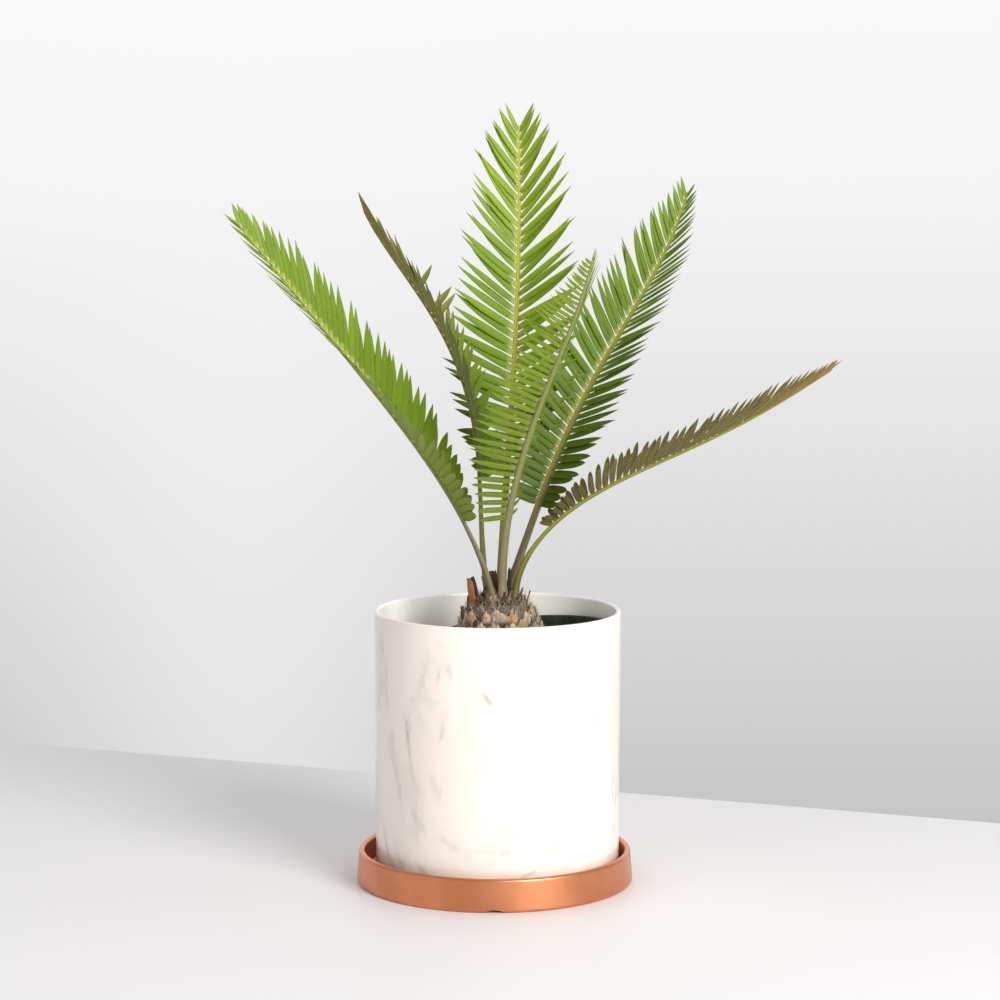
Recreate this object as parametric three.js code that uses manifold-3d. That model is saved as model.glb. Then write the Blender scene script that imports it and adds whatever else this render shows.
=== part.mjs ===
// A young cycad in a plastic nursery pot, standing in a glazed planter on a metal-finished saucer.
// Millimetres, +Z up. The origin is the middle of the circle that the saucer stands on.
import * as THREE from "three";
import { mergeVertices } from "three/addons/utils/BufferGeometryUtils.js";
import Module from "manifold-3d";

// ---- driving dimensions -------------------------------------------------------------------------
const GAP = 0.3; // clearance between pieces that rest on or in each other
const ROUND_SEGMENTS = 48; // facets around each turned piece
const CUT_OVERRUN = 1; // how far a cutting solid reaches past the faces that it opens

// Planter: a straight pot with a slight draft, a rounded lip and a drain hole.
const PLANTER_OFFSET_X = 1.6; // it stands a little off the middle of the saucer
const PLANTER_HEIGHT = 161.4;
const PLANTER_LIP_RADIUS = 75;
const PLANTER_DRAFT = 0.8; // how much narrower the foot is than the lip
const PLANTER_LIP = 3.2; // wall thickness at the lip
const PLANTER_WALL = 4.2; // wall thickness near the floor
const PLANTER_FLOOR = 5.5;
const PLANTER_CORNER = 5; // radius of the lower outside edge
const PLANTER_COVE = 4; // radius of the lower inside corner
const PLANTER_DRAIN_RADIUS = 8;
const PLANTER_FOOT_RECESS = 1.2;
const PLANTER_FOOT_WIDTH = 15; // width of the ring that the planter stands on, with its rounded edge

// Saucer: a shallow dish on a skirt, with a half-moon finger notch in the skirt's lower edge and a low centre
// foot that holds up its wide floor.
const SAUCER_MARGIN = 5.2; // room between the planter's foot and the inside of the saucer's wall
const SAUCER_WALL = 3.7;
const SAUCER_FLARE = 1.2; // how much wider the foot is than the crest
const SAUCER_HEIGHT = 19.9;
const SAUCER_FLOOR = 3;
const SAUCER_SKIRT = 2.2; // height of the skirt under the floor
const SAUCER_SKIRT_WIDTH = 6.5;
const SAUCER_CENTRE_FOOT_RADIUS = 14;
const SAUCER_EDGE = 1; // radius of the lower outside edge
const SAUCER_COVE = 2.5; // radius of the inside corner
const NOTCH_WIDTH = 12;
const NOTCH_HEIGHT = 1.6;

// Nursery pot: thin plastic with a rolled rim. It leans, on one side of its foot, against the planter's wall.
const NURSERY_HEIGHT = 140;
const NURSERY_RIM_RADIUS = 56.5;
const NURSERY_TOP_RADIUS = 54.6;
const NURSERY_FOOT_RADIUS = 42;
const NURSERY_WALL = 1.3;
const NURSERY_RIM_HEIGHT = 5;
const NURSERY_RIM_ROUNDING = 1;
const NURSERY_LEAN = 4; // degrees
const NURSERY_DRAIN_RADIUS = 5;
const NURSERY_DRAIN_EDGE = 11; // from the edge of the foot to the edge of a drain hole
const NURSERY_DRAINS = 6;

const SOIL_BELOW_RIM = 17;
const SOIL_EDGE_DROP = 3; // the edge of the mix lies lower than its middle
const SOIL_EDGE_WIDTH = 6;

// Caudex: the short armoured stem, with its tap root going down into the soil.
const CAUDEX_OFF_CENTRE = -14.34; // it grows to one side of the nursery pot's middle
const CROWN_ABOVE_SOIL = 37.1;
const CROWN_RADIUS = 16;
const CAUDEX_RADIUS = 26;
const CAUDEX_WIDEST_BELOW_CROWN = 26;
const SHOULDER_FULLNESS = 2.2; // how squarely the stem turns in towards its crown
const ROOT_BELOW_CROWN = 92;
const ROOT_TIP_RADIUS = 3;
const ROOT_FULLNESS = 0.9;
const SCALE_DEPTH = 1.6; // how far the old leaf bases stand proud
const SCALES_BELOW_CROWN = 39;
const SCALE_ROWS = 7;
const SCALES_AROUND = 10;
const CAUDEX_RINGS = 18;
const CROWN_DOME = 1; // height of the crown's low dome

// Fronds: a stalk that becomes a rachis, with two rows of leaflets.
const STALK_SEAT_DEPTH = 6; // how deep a stalk's foot is set into the crown
const STALK_CLEARANCE = 0.4; // between a stalk's foot and its socket
const RACHIS_TIP_RADIUS = 0.7;
const RACHIS_TAPER = 0.8;
const RACHIS_FLATNESS = 0.8; // its depth as a share of its width
const LEAFLET_LENGTH = 39;
const LEAFLET_THICKNESS = 0.8;
const LEAFLET_FILL = 0.7; // leaflet width as a share of the room between neighbours
const LEAFLET_ANGLE_LOW = 100; // degrees from the rachis, at the lowest leaflet
const LEAFLET_ANGLE_TIP = 25;
const LEAFLET_ANGLE_CURVE = 0.75; // under 1, the angle closes fastest in the lowest leaflets
const LEAFLET_TIP_BEND = 0.04; // how far its point bends forward, as a share of its length
const LOWEST_LEAFLET = 0.38; // lengths of the lowest and the last leaflet, as shares of the longest
const LAST_LEAFLET = 0.4;
const LEAFLET_GROWTH = 2.1; // how fast leaflets lengthen from the blade's foot, and from its tip
const LEAFLET_TIP_GROWTH = 1.9;
const LEAFLET_TIP_CURVE = 0.9;
const LEAFLET_WIDEST = 0.5; // where a leaflet is widest, as a share of its length
const RACHIS_POINT = 4; // length of the rachis's end point, in tip radii

// The right frond turns away from the centre one as the leaflets lengthen, so that their rows keep clear.
const RIGHT_TURN = 0.8; // degrees for each millimetre of leaflet
const RIGHT_HEADING = 65.2 - RIGHT_TURN * LEAFLET_LENGTH;

// Each frond: where its foot stands from the crown's middle, its length, its heading (degrees from +X
// towards +Y) at foot and tip, its lean from upright at four even steps, the roll of its blade and the rise
// of its leaflets at foot and tip, its stalk's half width, the share of its length that is bare stalk, and
// the leaflet spacing.
const FRONDS = [
  {
    name: "frond_left", foot: [-3, -3.5], length: 288, heading: [206, 206],
    lean: [10.5, 35.5, 40.5, 41], roll: [-10, -53], rise: [29, 4], stalk: 2.4, bare: 0.27, spacing: 6.4,
  },
  {
    name: "frond_back_left", foot: [-5.5, 5.5], length: 258, heading: [140, 175],
    lean: [18.5, 5, 30, 26.5], roll: [22, 8], rise: [16, 16], stalk: 2.2, bare: 0.33, spacing: 5.6,
  },
  {
    name: "frond_centre", foot: [-0.5, 9.5], length: 302, heading: [78, 82],
    lean: [14, 21, 13.5, -15.5], roll: [6, 6], rise: [16, 13], stalk: 2.4, bare: 0.36, spacing: 5.7,
  },
  {
    name: "frond_front", foot: [2.5, -7.5], length: 275, heading: [-48, -84],
    lean: [-7, 27.5, 48.5, 56.5], roll: [8, 44], rise: [24, 23], stalk: 2.9, bare: 0.2, spacing: 5.6,
  },
  {
    name: "frond_right", foot: [1, 3.5], length: 298, heading: [RIGHT_HEADING, RIGHT_HEADING + 16],
    lean: [27, 29.5, 41.5, 23], roll: [37, 31], rise: [37, 23], stalk: 2.5, bare: 0.24, spacing: 5.6,
  },
  {
    name: "frond_low_right", foot: [9.5, -2.5], length: 250, heading: [-6, 9],
    lean: [-5, 57.5, 65, 58], roll: [-3, -3], rise: [24, 20], stalk: 2.5, bare: 0.26, spacing: 4.8,
  },
];

// Old stalk stubs on the crown and the shoulder of the caudex: foot and top, from the crown's middle, then
// width and thickness.
const STUBS = [
  { foot: [-13.5, -4.5, -9], top: [-17.2, -5, 13], width: 4.6, thickness: 2.4 },
  { foot: [-11.5, -6, -9], top: [-14.2, -7, 14], width: 2.2, thickness: 1.6 },
  { foot: [-2, 1.5, -6], top: [-3.6, 1, 15.5], width: 3, thickness: 2 },
  { foot: [5.5, -1, -6], top: [4.8, -1.5, 17], width: 2.4, thickness: 2 },
  { foot: [14.5, -5, -14], top: [13, -6, 3], width: 1.6, thickness: 1.6 },
  { foot: [22, -6, -26], top: [24, -7, -11], width: 3, thickness: 2 },
  { foot: [-20, -6, -24], top: [-22.6, -7, -6.5], width: 2.6, thickness: 2 },
  { foot: [-17.5, -8, -19], top: [-20, -9, 0], width: 1.6, thickness: 1.6 },
];
const STUB_FOOT = 1.24; // widths of a stub's foot and top, as shares of its middle
const STUB_TOP = 0.84;

// ---- solids -------------------------------------------------------------------------------------
const wasm = await Module();
wasm.setup();

function solidFrom(geometry) {
  const bare = geometry.clone();
  bare.deleteAttribute("normal");
  bare.deleteAttribute("uv");
  const merged = mergeVertices(bare, 1e-4);
  return new wasm.Manifold(
    new wasm.Mesh({
      numProp: 3,
      vertProperties: new Float32Array(merged.attributes.position.array),
      triVerts: new Uint32Array(merged.index.array),
    }),
  );
}

function geometryFrom(solid) {
  const mesh = solid.getMesh();
  const geometry = new THREE.BufferGeometry();
  geometry.setAttribute("position", new THREE.BufferAttribute(new Float32Array(mesh.vertProperties), 3));
  geometry.setIndex(new THREE.BufferAttribute(new Uint32Array(mesh.triVerts), 1));
  const flat = geometry.toNonIndexed();
  flat.computeVertexNormals();
  return flat;
}

function cut(geometry, tools) {
  let solid = solidFrom(geometry);
  for (const tool of tools) {
    solid = solid.subtract(solidFrom(tool));
  }
  return geometryFrom(solid);
}

function join(geometry, others) {
  let solid = solidFrom(geometry);
  for (const other of others) {
    solid = solid.add(solidFrom(other));
  }
  return geometryFrom(solid);
}

// Points of a round corner, from one angle to another (degrees), each as radius and height.
function arc(centreRadius, centreZ, radius, from, to, steps) {
  const points = [];
  for (let i = 0; i <= steps; i += 1) {
    const angle = THREE.MathUtils.degToRad(from + ((to - from) * i) / steps);
    points.push([centreRadius + radius * Math.cos(angle), centreZ + radius * Math.sin(angle)]);
  }
  return points;
}

// A body of revolution about +Z, from a profile of [radius, height] that runs up its outside and down its
// inside.
function turned(profile, closed) {
  const points = profile.map(([radius, z]) => new THREE.Vector2(radius, z));
  if (closed) {
    points.push(points[0].clone());
  }
  return new THREE.LatheGeometry(points, ROUND_SEGMENTS).rotateX(Math.PI / 2);
}

function upright(radius, bottom, top, sides) {
  const height = top - bottom;
  return new THREE.CylinderGeometry(radius, radius, height, sides)
    .rotateX(Math.PI / 2)
    .translate(0, 0, bottom + height / 2);
}

// ---- saucer -------------------------------------------------------------------------------------
const planterFootRadius = PLANTER_LIP_RADIUS - PLANTER_DRAFT;
const saucerTopRadius = planterFootRadius + SAUCER_MARGIN + SAUCER_WALL;
const saucerFootRadius = saucerTopRadius + SAUCER_FLARE;
const saucerFloorZ = SAUCER_SKIRT + SAUCER_FLOOR;

function saucerGeometry() {
  const crest = SAUCER_WALL / 2;
  const skirtInside = saucerFootRadius - SAUCER_SKIRT_WIDTH;
  const profile = [
    [0, 0],
    [SAUCER_CENTRE_FOOT_RADIUS, 0],
    [SAUCER_CENTRE_FOOT_RADIUS + SAUCER_SKIRT, SAUCER_SKIRT],
    [skirtInside - SAUCER_SKIRT, SAUCER_SKIRT],
    [skirtInside, 0],
    ...arc(saucerFootRadius - SAUCER_EDGE, SAUCER_EDGE, SAUCER_EDGE, -90, 0, 2),
    ...arc(saucerTopRadius - crest, SAUCER_HEIGHT - crest, crest, 0, 180, 4),
    ...arc(saucerTopRadius - SAUCER_WALL - SAUCER_COVE, saucerFloorZ + SAUCER_COVE, SAUCER_COVE, 0, -90, 2),
    [0, saucerFloorZ],
  ];
  // The notch is the top of a round bar that lies across the skirt's front edge.
  const barRadius = (NOTCH_WIDTH ** 2 / 4 + NOTCH_HEIGHT ** 2) / (2 * NOTCH_HEIGHT);
  const barLength = SAUCER_SKIRT_WIDTH + SAUCER_SKIRT;
  const bar = new THREE.CylinderGeometry(barRadius, barRadius, barLength, ROUND_SEGMENTS)
    .translate(0, -saucerFootRadius + barLength / 2 - CUT_OVERRUN, NOTCH_HEIGHT - barRadius);
  return cut(turned(profile, false), [bar]);
}

// ---- planter ------------------------------------------------------------------------------------
const planterBaseZ = saucerFloorZ + GAP;
const planterFloorZ = planterBaseZ + PLANTER_FLOOR;

function planterInnerRadius(z) {
  const share = (z - planterBaseZ) / PLANTER_HEIGHT;
  const low = planterFootRadius - PLANTER_WALL;
  return low + (PLANTER_LIP_RADIUS - PLANTER_LIP - low) * share;
}

function planterGeometry() {
  const lip = PLANTER_LIP / 2;
  const recessEdge = planterFootRadius - PLANTER_FOOT_WIDTH;
  const innerLow = planterInnerRadius(planterFloorZ);
  const profile = [
    [PLANTER_DRAIN_RADIUS, PLANTER_FOOT_RECESS],
    [recessEdge, PLANTER_FOOT_RECESS],
    [recessEdge + PLANTER_FOOT_RECESS, 0],
    ...arc(planterFootRadius - PLANTER_CORNER, PLANTER_CORNER, PLANTER_CORNER, -90, 0, 4),
    ...arc(PLANTER_LIP_RADIUS - lip, PLANTER_HEIGHT - lip, lip, 0, 180, 4),
    ...arc(innerLow - PLANTER_COVE, PLANTER_FLOOR + PLANTER_COVE, PLANTER_COVE, 0, -90, 2),
    [PLANTER_DRAIN_RADIUS, PLANTER_FLOOR],
  ];
  return turned(profile, true);
}

// ---- nursery pot and potting mix ----------------------------------------------------------------
const nurseryLean = THREE.MathUtils.degToRad(NURSERY_LEAN);
const nurseryZ = planterFloorZ + GAP + NURSERY_FOOT_RADIUS * Math.sin(nurseryLean);
const rimEdgeZ = NURSERY_HEIGHT - NURSERY_RIM_HEIGHT + NURSERY_RIM_ROUNDING;

// Where the pot's middle is when the high side of one of its edges all but touches the planter's wall, at the
// middle of one of the wall's flats.
function nurseryXTouching(edgeRadius, edgeZ) {
  const touchZ = nurseryZ + edgeZ * Math.cos(nurseryLean) + edgeRadius * Math.sin(nurseryLean);
  const wall = PLANTER_OFFSET_X + planterInnerRadius(touchZ) * Math.cos(Math.PI / ROUND_SEGMENTS);
  return wall - GAP - edgeRadius * Math.cos(nurseryLean) + edgeZ * Math.sin(nurseryLean);
}

// The lower edge of its rim or the edge of its foot touches, whichever meets the wall first.
const nurseryX = Math.min(
  nurseryXTouching(NURSERY_RIM_RADIUS, rimEdgeZ),
  nurseryXTouching(NURSERY_FOOT_RADIUS, 0),
);

function nurseryOuterRadius(z) {
  return NURSERY_FOOT_RADIUS + ((NURSERY_TOP_RADIUS - NURSERY_FOOT_RADIUS) * z) / NURSERY_HEIGHT;
}

function nurseryInnerRadius(z) {
  return nurseryOuterRadius(z) - NURSERY_WALL;
}

function nurseryPotGeometry() {
  const rimFoot = NURSERY_HEIGHT - NURSERY_RIM_HEIGHT;
  const round = NURSERY_RIM_ROUNDING;
  const profile = [
    [0, 0],
    [NURSERY_FOOT_RADIUS, 0],
    [nurseryOuterRadius(rimFoot), rimFoot],
    [NURSERY_RIM_RADIUS, rimFoot + round],
    ...arc(NURSERY_RIM_RADIUS - round, NURSERY_HEIGHT - round, round, 0, 90, 2),
    [nurseryInnerRadius(NURSERY_HEIGHT), NURSERY_HEIGHT],
    [nurseryInnerRadius(NURSERY_WALL), NURSERY_WALL],
    [0, NURSERY_WALL],
  ];
  const drains = [];
  const ring = NURSERY_FOOT_RADIUS - NURSERY_DRAIN_EDGE - NURSERY_DRAIN_RADIUS;
  for (let i = 0; i < NURSERY_DRAINS; i += 1) {
    const angle = (2 * Math.PI * i) / NURSERY_DRAINS;
    const drain = upright(NURSERY_DRAIN_RADIUS, -CUT_OVERRUN, NURSERY_WALL + CUT_OVERRUN, ROUND_SEGMENTS / 4);
    drains.push(drain.translate(ring * Math.cos(angle), ring * Math.sin(angle), 0));
  }
  return cut(turned(profile, false), drains);
}

const soilTop = NURSERY_HEIGHT - SOIL_BELOW_RIM;

function soilGeometry(rootClearance) {
  const bottom = NURSERY_WALL + GAP;
  const top = soilTop;
  const profile = [
    [0, bottom],
    [nurseryInnerRadius(bottom) - GAP, bottom],
    [nurseryInnerRadius(top - SOIL_EDGE_DROP) - GAP, top - SOIL_EDGE_DROP],
    [nurseryInnerRadius(top) - GAP - SOIL_EDGE_WIDTH, top],
    [0, top],
  ];
  return cut(turned(profile, false), [rootClearance]);
}

// ---- caudex -------------------------------------------------------------------------------------
// The middle of the soil's top, on the leaning pot's axis, places the crown.
const crownX = nurseryX - soilTop * Math.sin(nurseryLean) + CAUDEX_OFF_CENTRE;
const crownZ = nurseryZ + soilTop * Math.cos(nurseryLean) + CROWN_ABOVE_SOIL;

function caudexRadius(below) {
  if (below <= CAUDEX_WIDEST_BELOW_CROWN) {
    const share = 1 - below / CAUDEX_WIDEST_BELOW_CROWN;
    return CAUDEX_RADIUS - (CAUDEX_RADIUS - CROWN_RADIUS) * share ** SHOULDER_FULLNESS;
  }
  const share = (below - CAUDEX_WIDEST_BELOW_CROWN) / (ROOT_BELOW_CROWN - CAUDEX_WIDEST_BELOW_CROWN);
  const narrowing = Math.max(0, Math.cos((share * Math.PI) / 2)) ** ROOT_FULLNESS;
  return ROOT_TIP_RADIUS + (CAUDEX_RADIUS - ROOT_TIP_RADIUS) * narrowing;
}

// The stem's outline, made larger by an extra margin all round. Scales stand proud of it above the soil, in
// rows that are half a scale apart.
function caudexGeometry(extra, scaled) {
  const profile = [[0, -ROOT_BELOW_CROWN - extra]];
  for (let i = 0; i <= CAUDEX_RINGS; i += 1) {
    const below = ROOT_BELOW_CROWN * (1 - i / CAUDEX_RINGS);
    profile.push([caudexRadius(below) + extra, i === 0 ? -below - extra : -below]);
  }
  profile.push([0, extra + CROWN_DOME]);
  const points = profile.map(([radius, z]) => new THREE.Vector2(radius, z));
  const geometry = new THREE.LatheGeometry(points, 2 * SCALES_AROUND).rotateX(Math.PI / 2);
  if (scaled) {
    raiseScales(geometry.attributes.position);
  }
  return geometry.translate(crownX, 0, crownZ);
}

function raiseScales(position) {
  const rowHeight = SCALES_BELOW_CROWN / SCALE_ROWS;
  for (let i = 0; i < position.count; i += 1) {
    const x = position.getX(i);
    const y = position.getY(i);
    const z = position.getZ(i);
    const radius = Math.hypot(x, y);
    if (z > -SCALES_BELOW_CROWN && radius > CROWN_RADIUS / 2) {
      const row = Math.round((z + SCALES_BELOW_CROWN) / rowHeight);
      const turn = (Math.atan2(y, x) / (2 * Math.PI)) * SCALES_AROUND + row / 2;
      const proud = 1 + (SCALE_DEPTH / radius) * Math.cos(2 * Math.PI * turn);
      position.setXYZ(i, x * proud, y * proud, z);
    }
  }
}

// A dead stalk stub: a four-sided bar that narrows towards its top.
function stubGeometry({ foot, top, width, thickness }) {
  const from = new THREE.Vector3(...foot);
  const to = new THREE.Vector3(...top);
  const length = from.distanceTo(to);
  const bar = new THREE.CylinderGeometry(STUB_TOP / 2, STUB_FOOT / 2, length, 4).rotateY(Math.PI / 4);
  bar.scale(width, 1, thickness).rotateX(Math.PI / 2);
  const turn = new THREE.Quaternion().setFromUnitVectors(
    new THREE.Vector3(0, 0, 1),
    to.clone().sub(from).normalize(),
  );
  const middle = from.lerp(to, 0.5);
  return bar.applyQuaternion(turn).translate(crownX + middle.x, middle.y, crownZ + middle.z);
}

// ---- fronds -------------------------------------------------------------------------------------
// The smooth curve through four values at even steps.
function through([a, b, c, d], share) {
  const x = 3 * share;
  return (
    (a * (1 - x) * (2 - x) * (3 - x)) / 6 +
    (b * x * (2 - x) * (3 - x)) / 2 +
    (c * x * (x - 1) * (3 - x)) / 2 +
    (d * x * (x - 1) * (x - 2)) / 6
  );
}

function between([from, to], share) {
  return from + (to - from) * share;
}

// The rachis as a path: at each step its place, its direction, its side and its upper face's normal.
function rachisPath(frond, steps) {
  const place = new THREE.Vector3(crownX + frond.foot[0], frond.foot[1], crownZ - STALK_SEAT_DEPTH);
  const path = [];
  const fine = 8; // integration steps between two stations
  for (let i = 0; i <= steps; i += 1) {
    const share = i / steps;
    path.push({ share, place: place.clone(), ...rachisFrame(frond, share) });
    for (let j = 0; j < fine; j += 1) {
      const middle = (i + (j + 0.5) / fine) / steps;
      place.addScaledVector(rachisFrame(frond, middle).along, frond.length / steps / fine);
    }
  }
  return path;
}

function rachisFrame(frond, share) {
  const lean = THREE.MathUtils.degToRad(through(frond.lean, share));
  const heading = THREE.MathUtils.degToRad(between(frond.heading, share));
  const roll = THREE.MathUtils.degToRad(between(frond.roll, share));
  const along = new THREE.Vector3(
    Math.sin(lean) * Math.cos(heading),
    Math.sin(lean) * Math.sin(heading),
    Math.cos(lean),
  );
  const level = new THREE.Vector3(-Math.sin(heading), Math.cos(heading), 0);
  const face = new THREE.Vector3().crossVectors(along, level);
  const side = level.clone().multiplyScalar(Math.cos(roll)).addScaledVector(face, Math.sin(roll));
  const up = face.clone().multiplyScalar(Math.cos(roll)).addScaledVector(level, -Math.sin(roll));
  return { along, side, up };
}

// Half width of the stalk and rachis: widest at the foot, then an even taper.
function rachisRadius(frond, share) {
  return RACHIS_TIP_RADIUS + (frond.stalk - RACHIS_TIP_RADIUS) * (1 - share) ** RACHIS_TAPER;
}

// Leaflets are short at the blade's foot, reach full length a third of the way up, and shorten again to its
// tip.
function leafletLength(blade) {
  const low = Math.min(1, LOWEST_LEAFLET + LEAFLET_GROWTH * blade);
  const high = Math.min(1, LAST_LEAFLET + LEAFLET_TIP_GROWTH * (1 - blade) ** LEAFLET_TIP_CURVE);
  return LEAFLET_LENGTH * low * high;
}

function leafletAngle(blade) {
  const angle = between([LEAFLET_ANGLE_LOW, LEAFLET_ANGLE_TIP], blade ** LEAFLET_ANGLE_CURVE);
  return THREE.MathUtils.degToRad(angle);
}

// The rachis's corners, and the two of its faces, upper right and upper left, that bear leaflets.
const RACHIS_CORNERS = [0, 50, 130, 180, 240, 300].map((angle) => THREE.MathUtils.degToRad(angle));
const LEAFLET_FACES = { 0: 1, 2: -1 };

function centreOf(points) {
  return points.reduce((sum, point) => sum.add(point), new THREE.Vector3()).divideScalar(points.length);
}

function rachisRing(frond, station, extra) {
  const halfWidth = rachisRadius(frond, station.share) + extra;
  const halfDepth = RACHIS_FLATNESS * rachisRadius(frond, station.share) + extra;
  return RACHIS_CORNERS.map((angle) =>
    station.place
      .clone()
      .addScaledVector(station.side, halfWidth * Math.cos(angle))
      .addScaledVector(station.up, halfDepth * Math.sin(angle)),
  );
}

// The four corners of a leaflet's middle, in the order of the four corners that it grows from, and its tip.
function leafletShape(frond, root, station, blade, hand, room) {
  const rise = THREE.MathUtils.degToRad(between(frond.rise, blade));
  const angle = leafletAngle(blade);
  const out = station.side
    .clone()
    .multiplyScalar(hand * Math.cos(rise))
    .addScaledVector(station.up, Math.sin(rise));
  const along = station.along.clone().multiplyScalar(Math.cos(angle)).addScaledVector(out, Math.sin(angle));
  const across = station.along.clone().addScaledVector(along, -Math.cos(angle)).normalize();
  const thick = new THREE.Vector3().crossVectors(across, along).multiplyScalar(hand);
  const length = leafletLength(blade);
  const halfWidth = (LEAFLET_FILL * room * Math.sin(angle)) / 2;
  const middle = root.clone().addScaledVector(along, length * LEAFLET_WIDEST);
  const corner = (forward, over) =>
    middle
      .clone()
      .addScaledVector(across, forward * halfWidth)
      .addScaledVector(thick, (over * hand * LEAFLET_THICKNESS) / 2);
  const tip = root.clone().addScaledVector(along, length).addScaledVector(across, LEAFLET_TIP_BEND * length);
  return { corners: [corner(-1, -1), corner(-1, 1), corner(1, 1), corner(1, -1)], tip };
}

// Collects triangles and turns them into a geometry.
class Skin {
  constructor() {
    this.values = [];
  }

  triangle(a, b, c) {
    this.values.push(...a.toArray(), ...b.toArray(), ...c.toArray());
  }

  quad(a, b, c, d) {
    this.triangle(a, b, c);
    this.triangle(a, c, d);
  }

  fan(ring, point) {
    for (let i = 0; i < ring.length; i += 1) {
      this.triangle(ring[i], ring[(i + 1) % ring.length], point);
    }
  }

  geometry() {
    const made = new THREE.BufferGeometry();
    made.setAttribute("position", new THREE.Float32BufferAttribute(this.values, 3));
    made.computeVertexNormals();
    return made;
  }
}

function leafletSkin(skin, root, shape) {
  for (let i = 0; i < 4; i += 1) {
    const next = (i + 1) % 4;
    skin.quad(root[i], root[next], shape.corners[next], shape.corners[i]);
  }
  skin.fan(shape.corners, shape.tip);
}

// The stations of a frond: a few along its bare stalk, then one between each two pairs of leaflets.
function frondStations(frond) {
  const pairs = Math.round((frond.length * (1 - frond.bare)) / frond.spacing);
  const total = Math.round(pairs / (1 - frond.bare));
  const stalkSkip = 3;
  const stations = rachisPath(frond, total).filter((_, i) => i >= total - pairs || i % stalkSkip === 0);
  return { stations, pairs, room: frond.length / total };
}

// One solid: the rachis is a six-sided tube, and each leaflet grows out of its upper side faces.
function frondGeometry(frond) {
  const { stations, pairs, room } = frondStations(frond);
  const rings = stations.map((station) => rachisRing(frond, station, 0));
  const firstPair = stations.length - 1 - pairs;
  const skin = new Skin();
  for (let i = 0; i + 1 < stations.length; i += 1) {
    const [a, b] = [rings[i], rings[i + 1]];
    const blade = (i - firstPair + 0.5) / pairs;
    for (let side = 0; side < a.length; side += 1) {
      const next = (side + 1) % a.length;
      const root = [a[side], a[next], b[next], b[side]];
      const hand = LEAFLET_FACES[side];
      if (blade > 0 && hand) {
        leafletSkin(skin, root, leafletShape(frond, centreOf(root), stations[i], blade, hand, room));
      } else {
        skin.quad(...root);
      }
    }
  }
  const end = stations.at(-1);
  skin.fan(rings.at(-1), end.place.clone().addScaledVector(end.along, RACHIS_POINT * RACHIS_TIP_RADIUS));
  skin.fan(rings[0].toReversed(), stations[0].place);
  return skin.geometry();
}

// The room that a stalk's foot takes in the crown: its first stretch, made larger all round by its clearance.
function stalkSocket(frond) {
  const [foot, next] = frondStations(frond).stations;
  const rings = [foot, next].map((station) => rachisRing(frond, station, STALK_CLEARANCE));
  rings[0].forEach((point) => point.addScaledVector(foot.along, -STALK_CLEARANCE));
  const skin = new Skin();
  for (let side = 0; side < rings[0].length; side += 1) {
    const after = (side + 1) % rings[0].length;
    skin.quad(rings[0][side], rings[0][after], rings[1][after], rings[1][side]);
  }
  skin.fan(rings[1], next.place);
  skin.fan(rings[0].toReversed(), foot.place.clone().addScaledVector(foot.along, -STALK_CLEARANCE));
  return skin.geometry();
}

// ---- assembly -----------------------------------------------------------------------------------
function mesh(name, geometry, colour, roughness, metalness) {
  const material = new THREE.MeshStandardMaterial({ color: colour, roughness, metalness });
  const made = new THREE.Mesh(geometry, material);
  made.name = name;
  return made;
}

const plant = new THREE.Group();
plant.add(mesh("saucer", saucerGeometry(), "#d18f62", 0.32, 0.85));

const planter = mesh("ceramic_pot", planterGeometry(), "#f4f0e6", 0.18, 0);
planter.position.set(PLANTER_OFFSET_X, 0, planterBaseZ);
plant.add(planter);

const nursery = new THREE.Group();
nursery.position.set(nurseryX, 0, nurseryZ);
nursery.rotation.y = -nurseryLean;
nursery.updateMatrix();
const rootClearance = caudexGeometry(GAP + SCALE_DEPTH, false).applyMatrix4(nursery.matrix.clone().invert());
nursery.add(mesh("nursery_pot", nurseryPotGeometry(), "#24301f", 0.55, 0));
nursery.add(mesh("potting_mix", soilGeometry(rootClearance), "#3a2a1e", 0.95, 0));
plant.add(nursery);

const stem = join(caudexGeometry(0, true), STUBS.map(stubGeometry));
plant.add(mesh("caudex", cut(stem, FRONDS.map(stalkSocket)), "#a98a6c", 0.9, 0));

for (const frond of FRONDS) {
  plant.add(mesh(frond.name, frondGeometry(frond), "#6f9a2c", 0.5, 0));
}

export default plant;
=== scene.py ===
import math
import random

import bpy
import numpy as np
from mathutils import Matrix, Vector, noise


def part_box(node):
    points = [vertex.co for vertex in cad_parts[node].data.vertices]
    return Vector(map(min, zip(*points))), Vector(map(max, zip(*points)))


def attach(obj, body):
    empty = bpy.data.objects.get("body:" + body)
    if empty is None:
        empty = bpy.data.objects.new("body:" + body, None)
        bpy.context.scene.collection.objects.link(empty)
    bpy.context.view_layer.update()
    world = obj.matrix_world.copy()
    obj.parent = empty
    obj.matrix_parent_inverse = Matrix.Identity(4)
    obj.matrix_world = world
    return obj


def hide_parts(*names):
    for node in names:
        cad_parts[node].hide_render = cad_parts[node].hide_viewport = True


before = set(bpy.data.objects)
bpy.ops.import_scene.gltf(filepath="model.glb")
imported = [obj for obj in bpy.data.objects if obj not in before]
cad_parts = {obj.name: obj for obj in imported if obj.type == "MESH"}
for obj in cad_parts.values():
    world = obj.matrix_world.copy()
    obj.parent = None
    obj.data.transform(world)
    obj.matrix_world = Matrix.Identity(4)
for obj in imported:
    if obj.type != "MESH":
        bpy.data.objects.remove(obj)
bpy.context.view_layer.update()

MM = 0.001
UP = np.array([0.0, 0.0, 1.0])


# ---- numbers and curves --------------------------------------------------------------------------
def blend(low, high, share):
    return low + (high - low) * share


def ease(low, high, value):
    """0 below low, 1 above high, and a smooth step between them."""
    t = min(1.0, max(0.0, (value - low) / (high - low)))
    return t * t * (3 - 2 * t)


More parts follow.
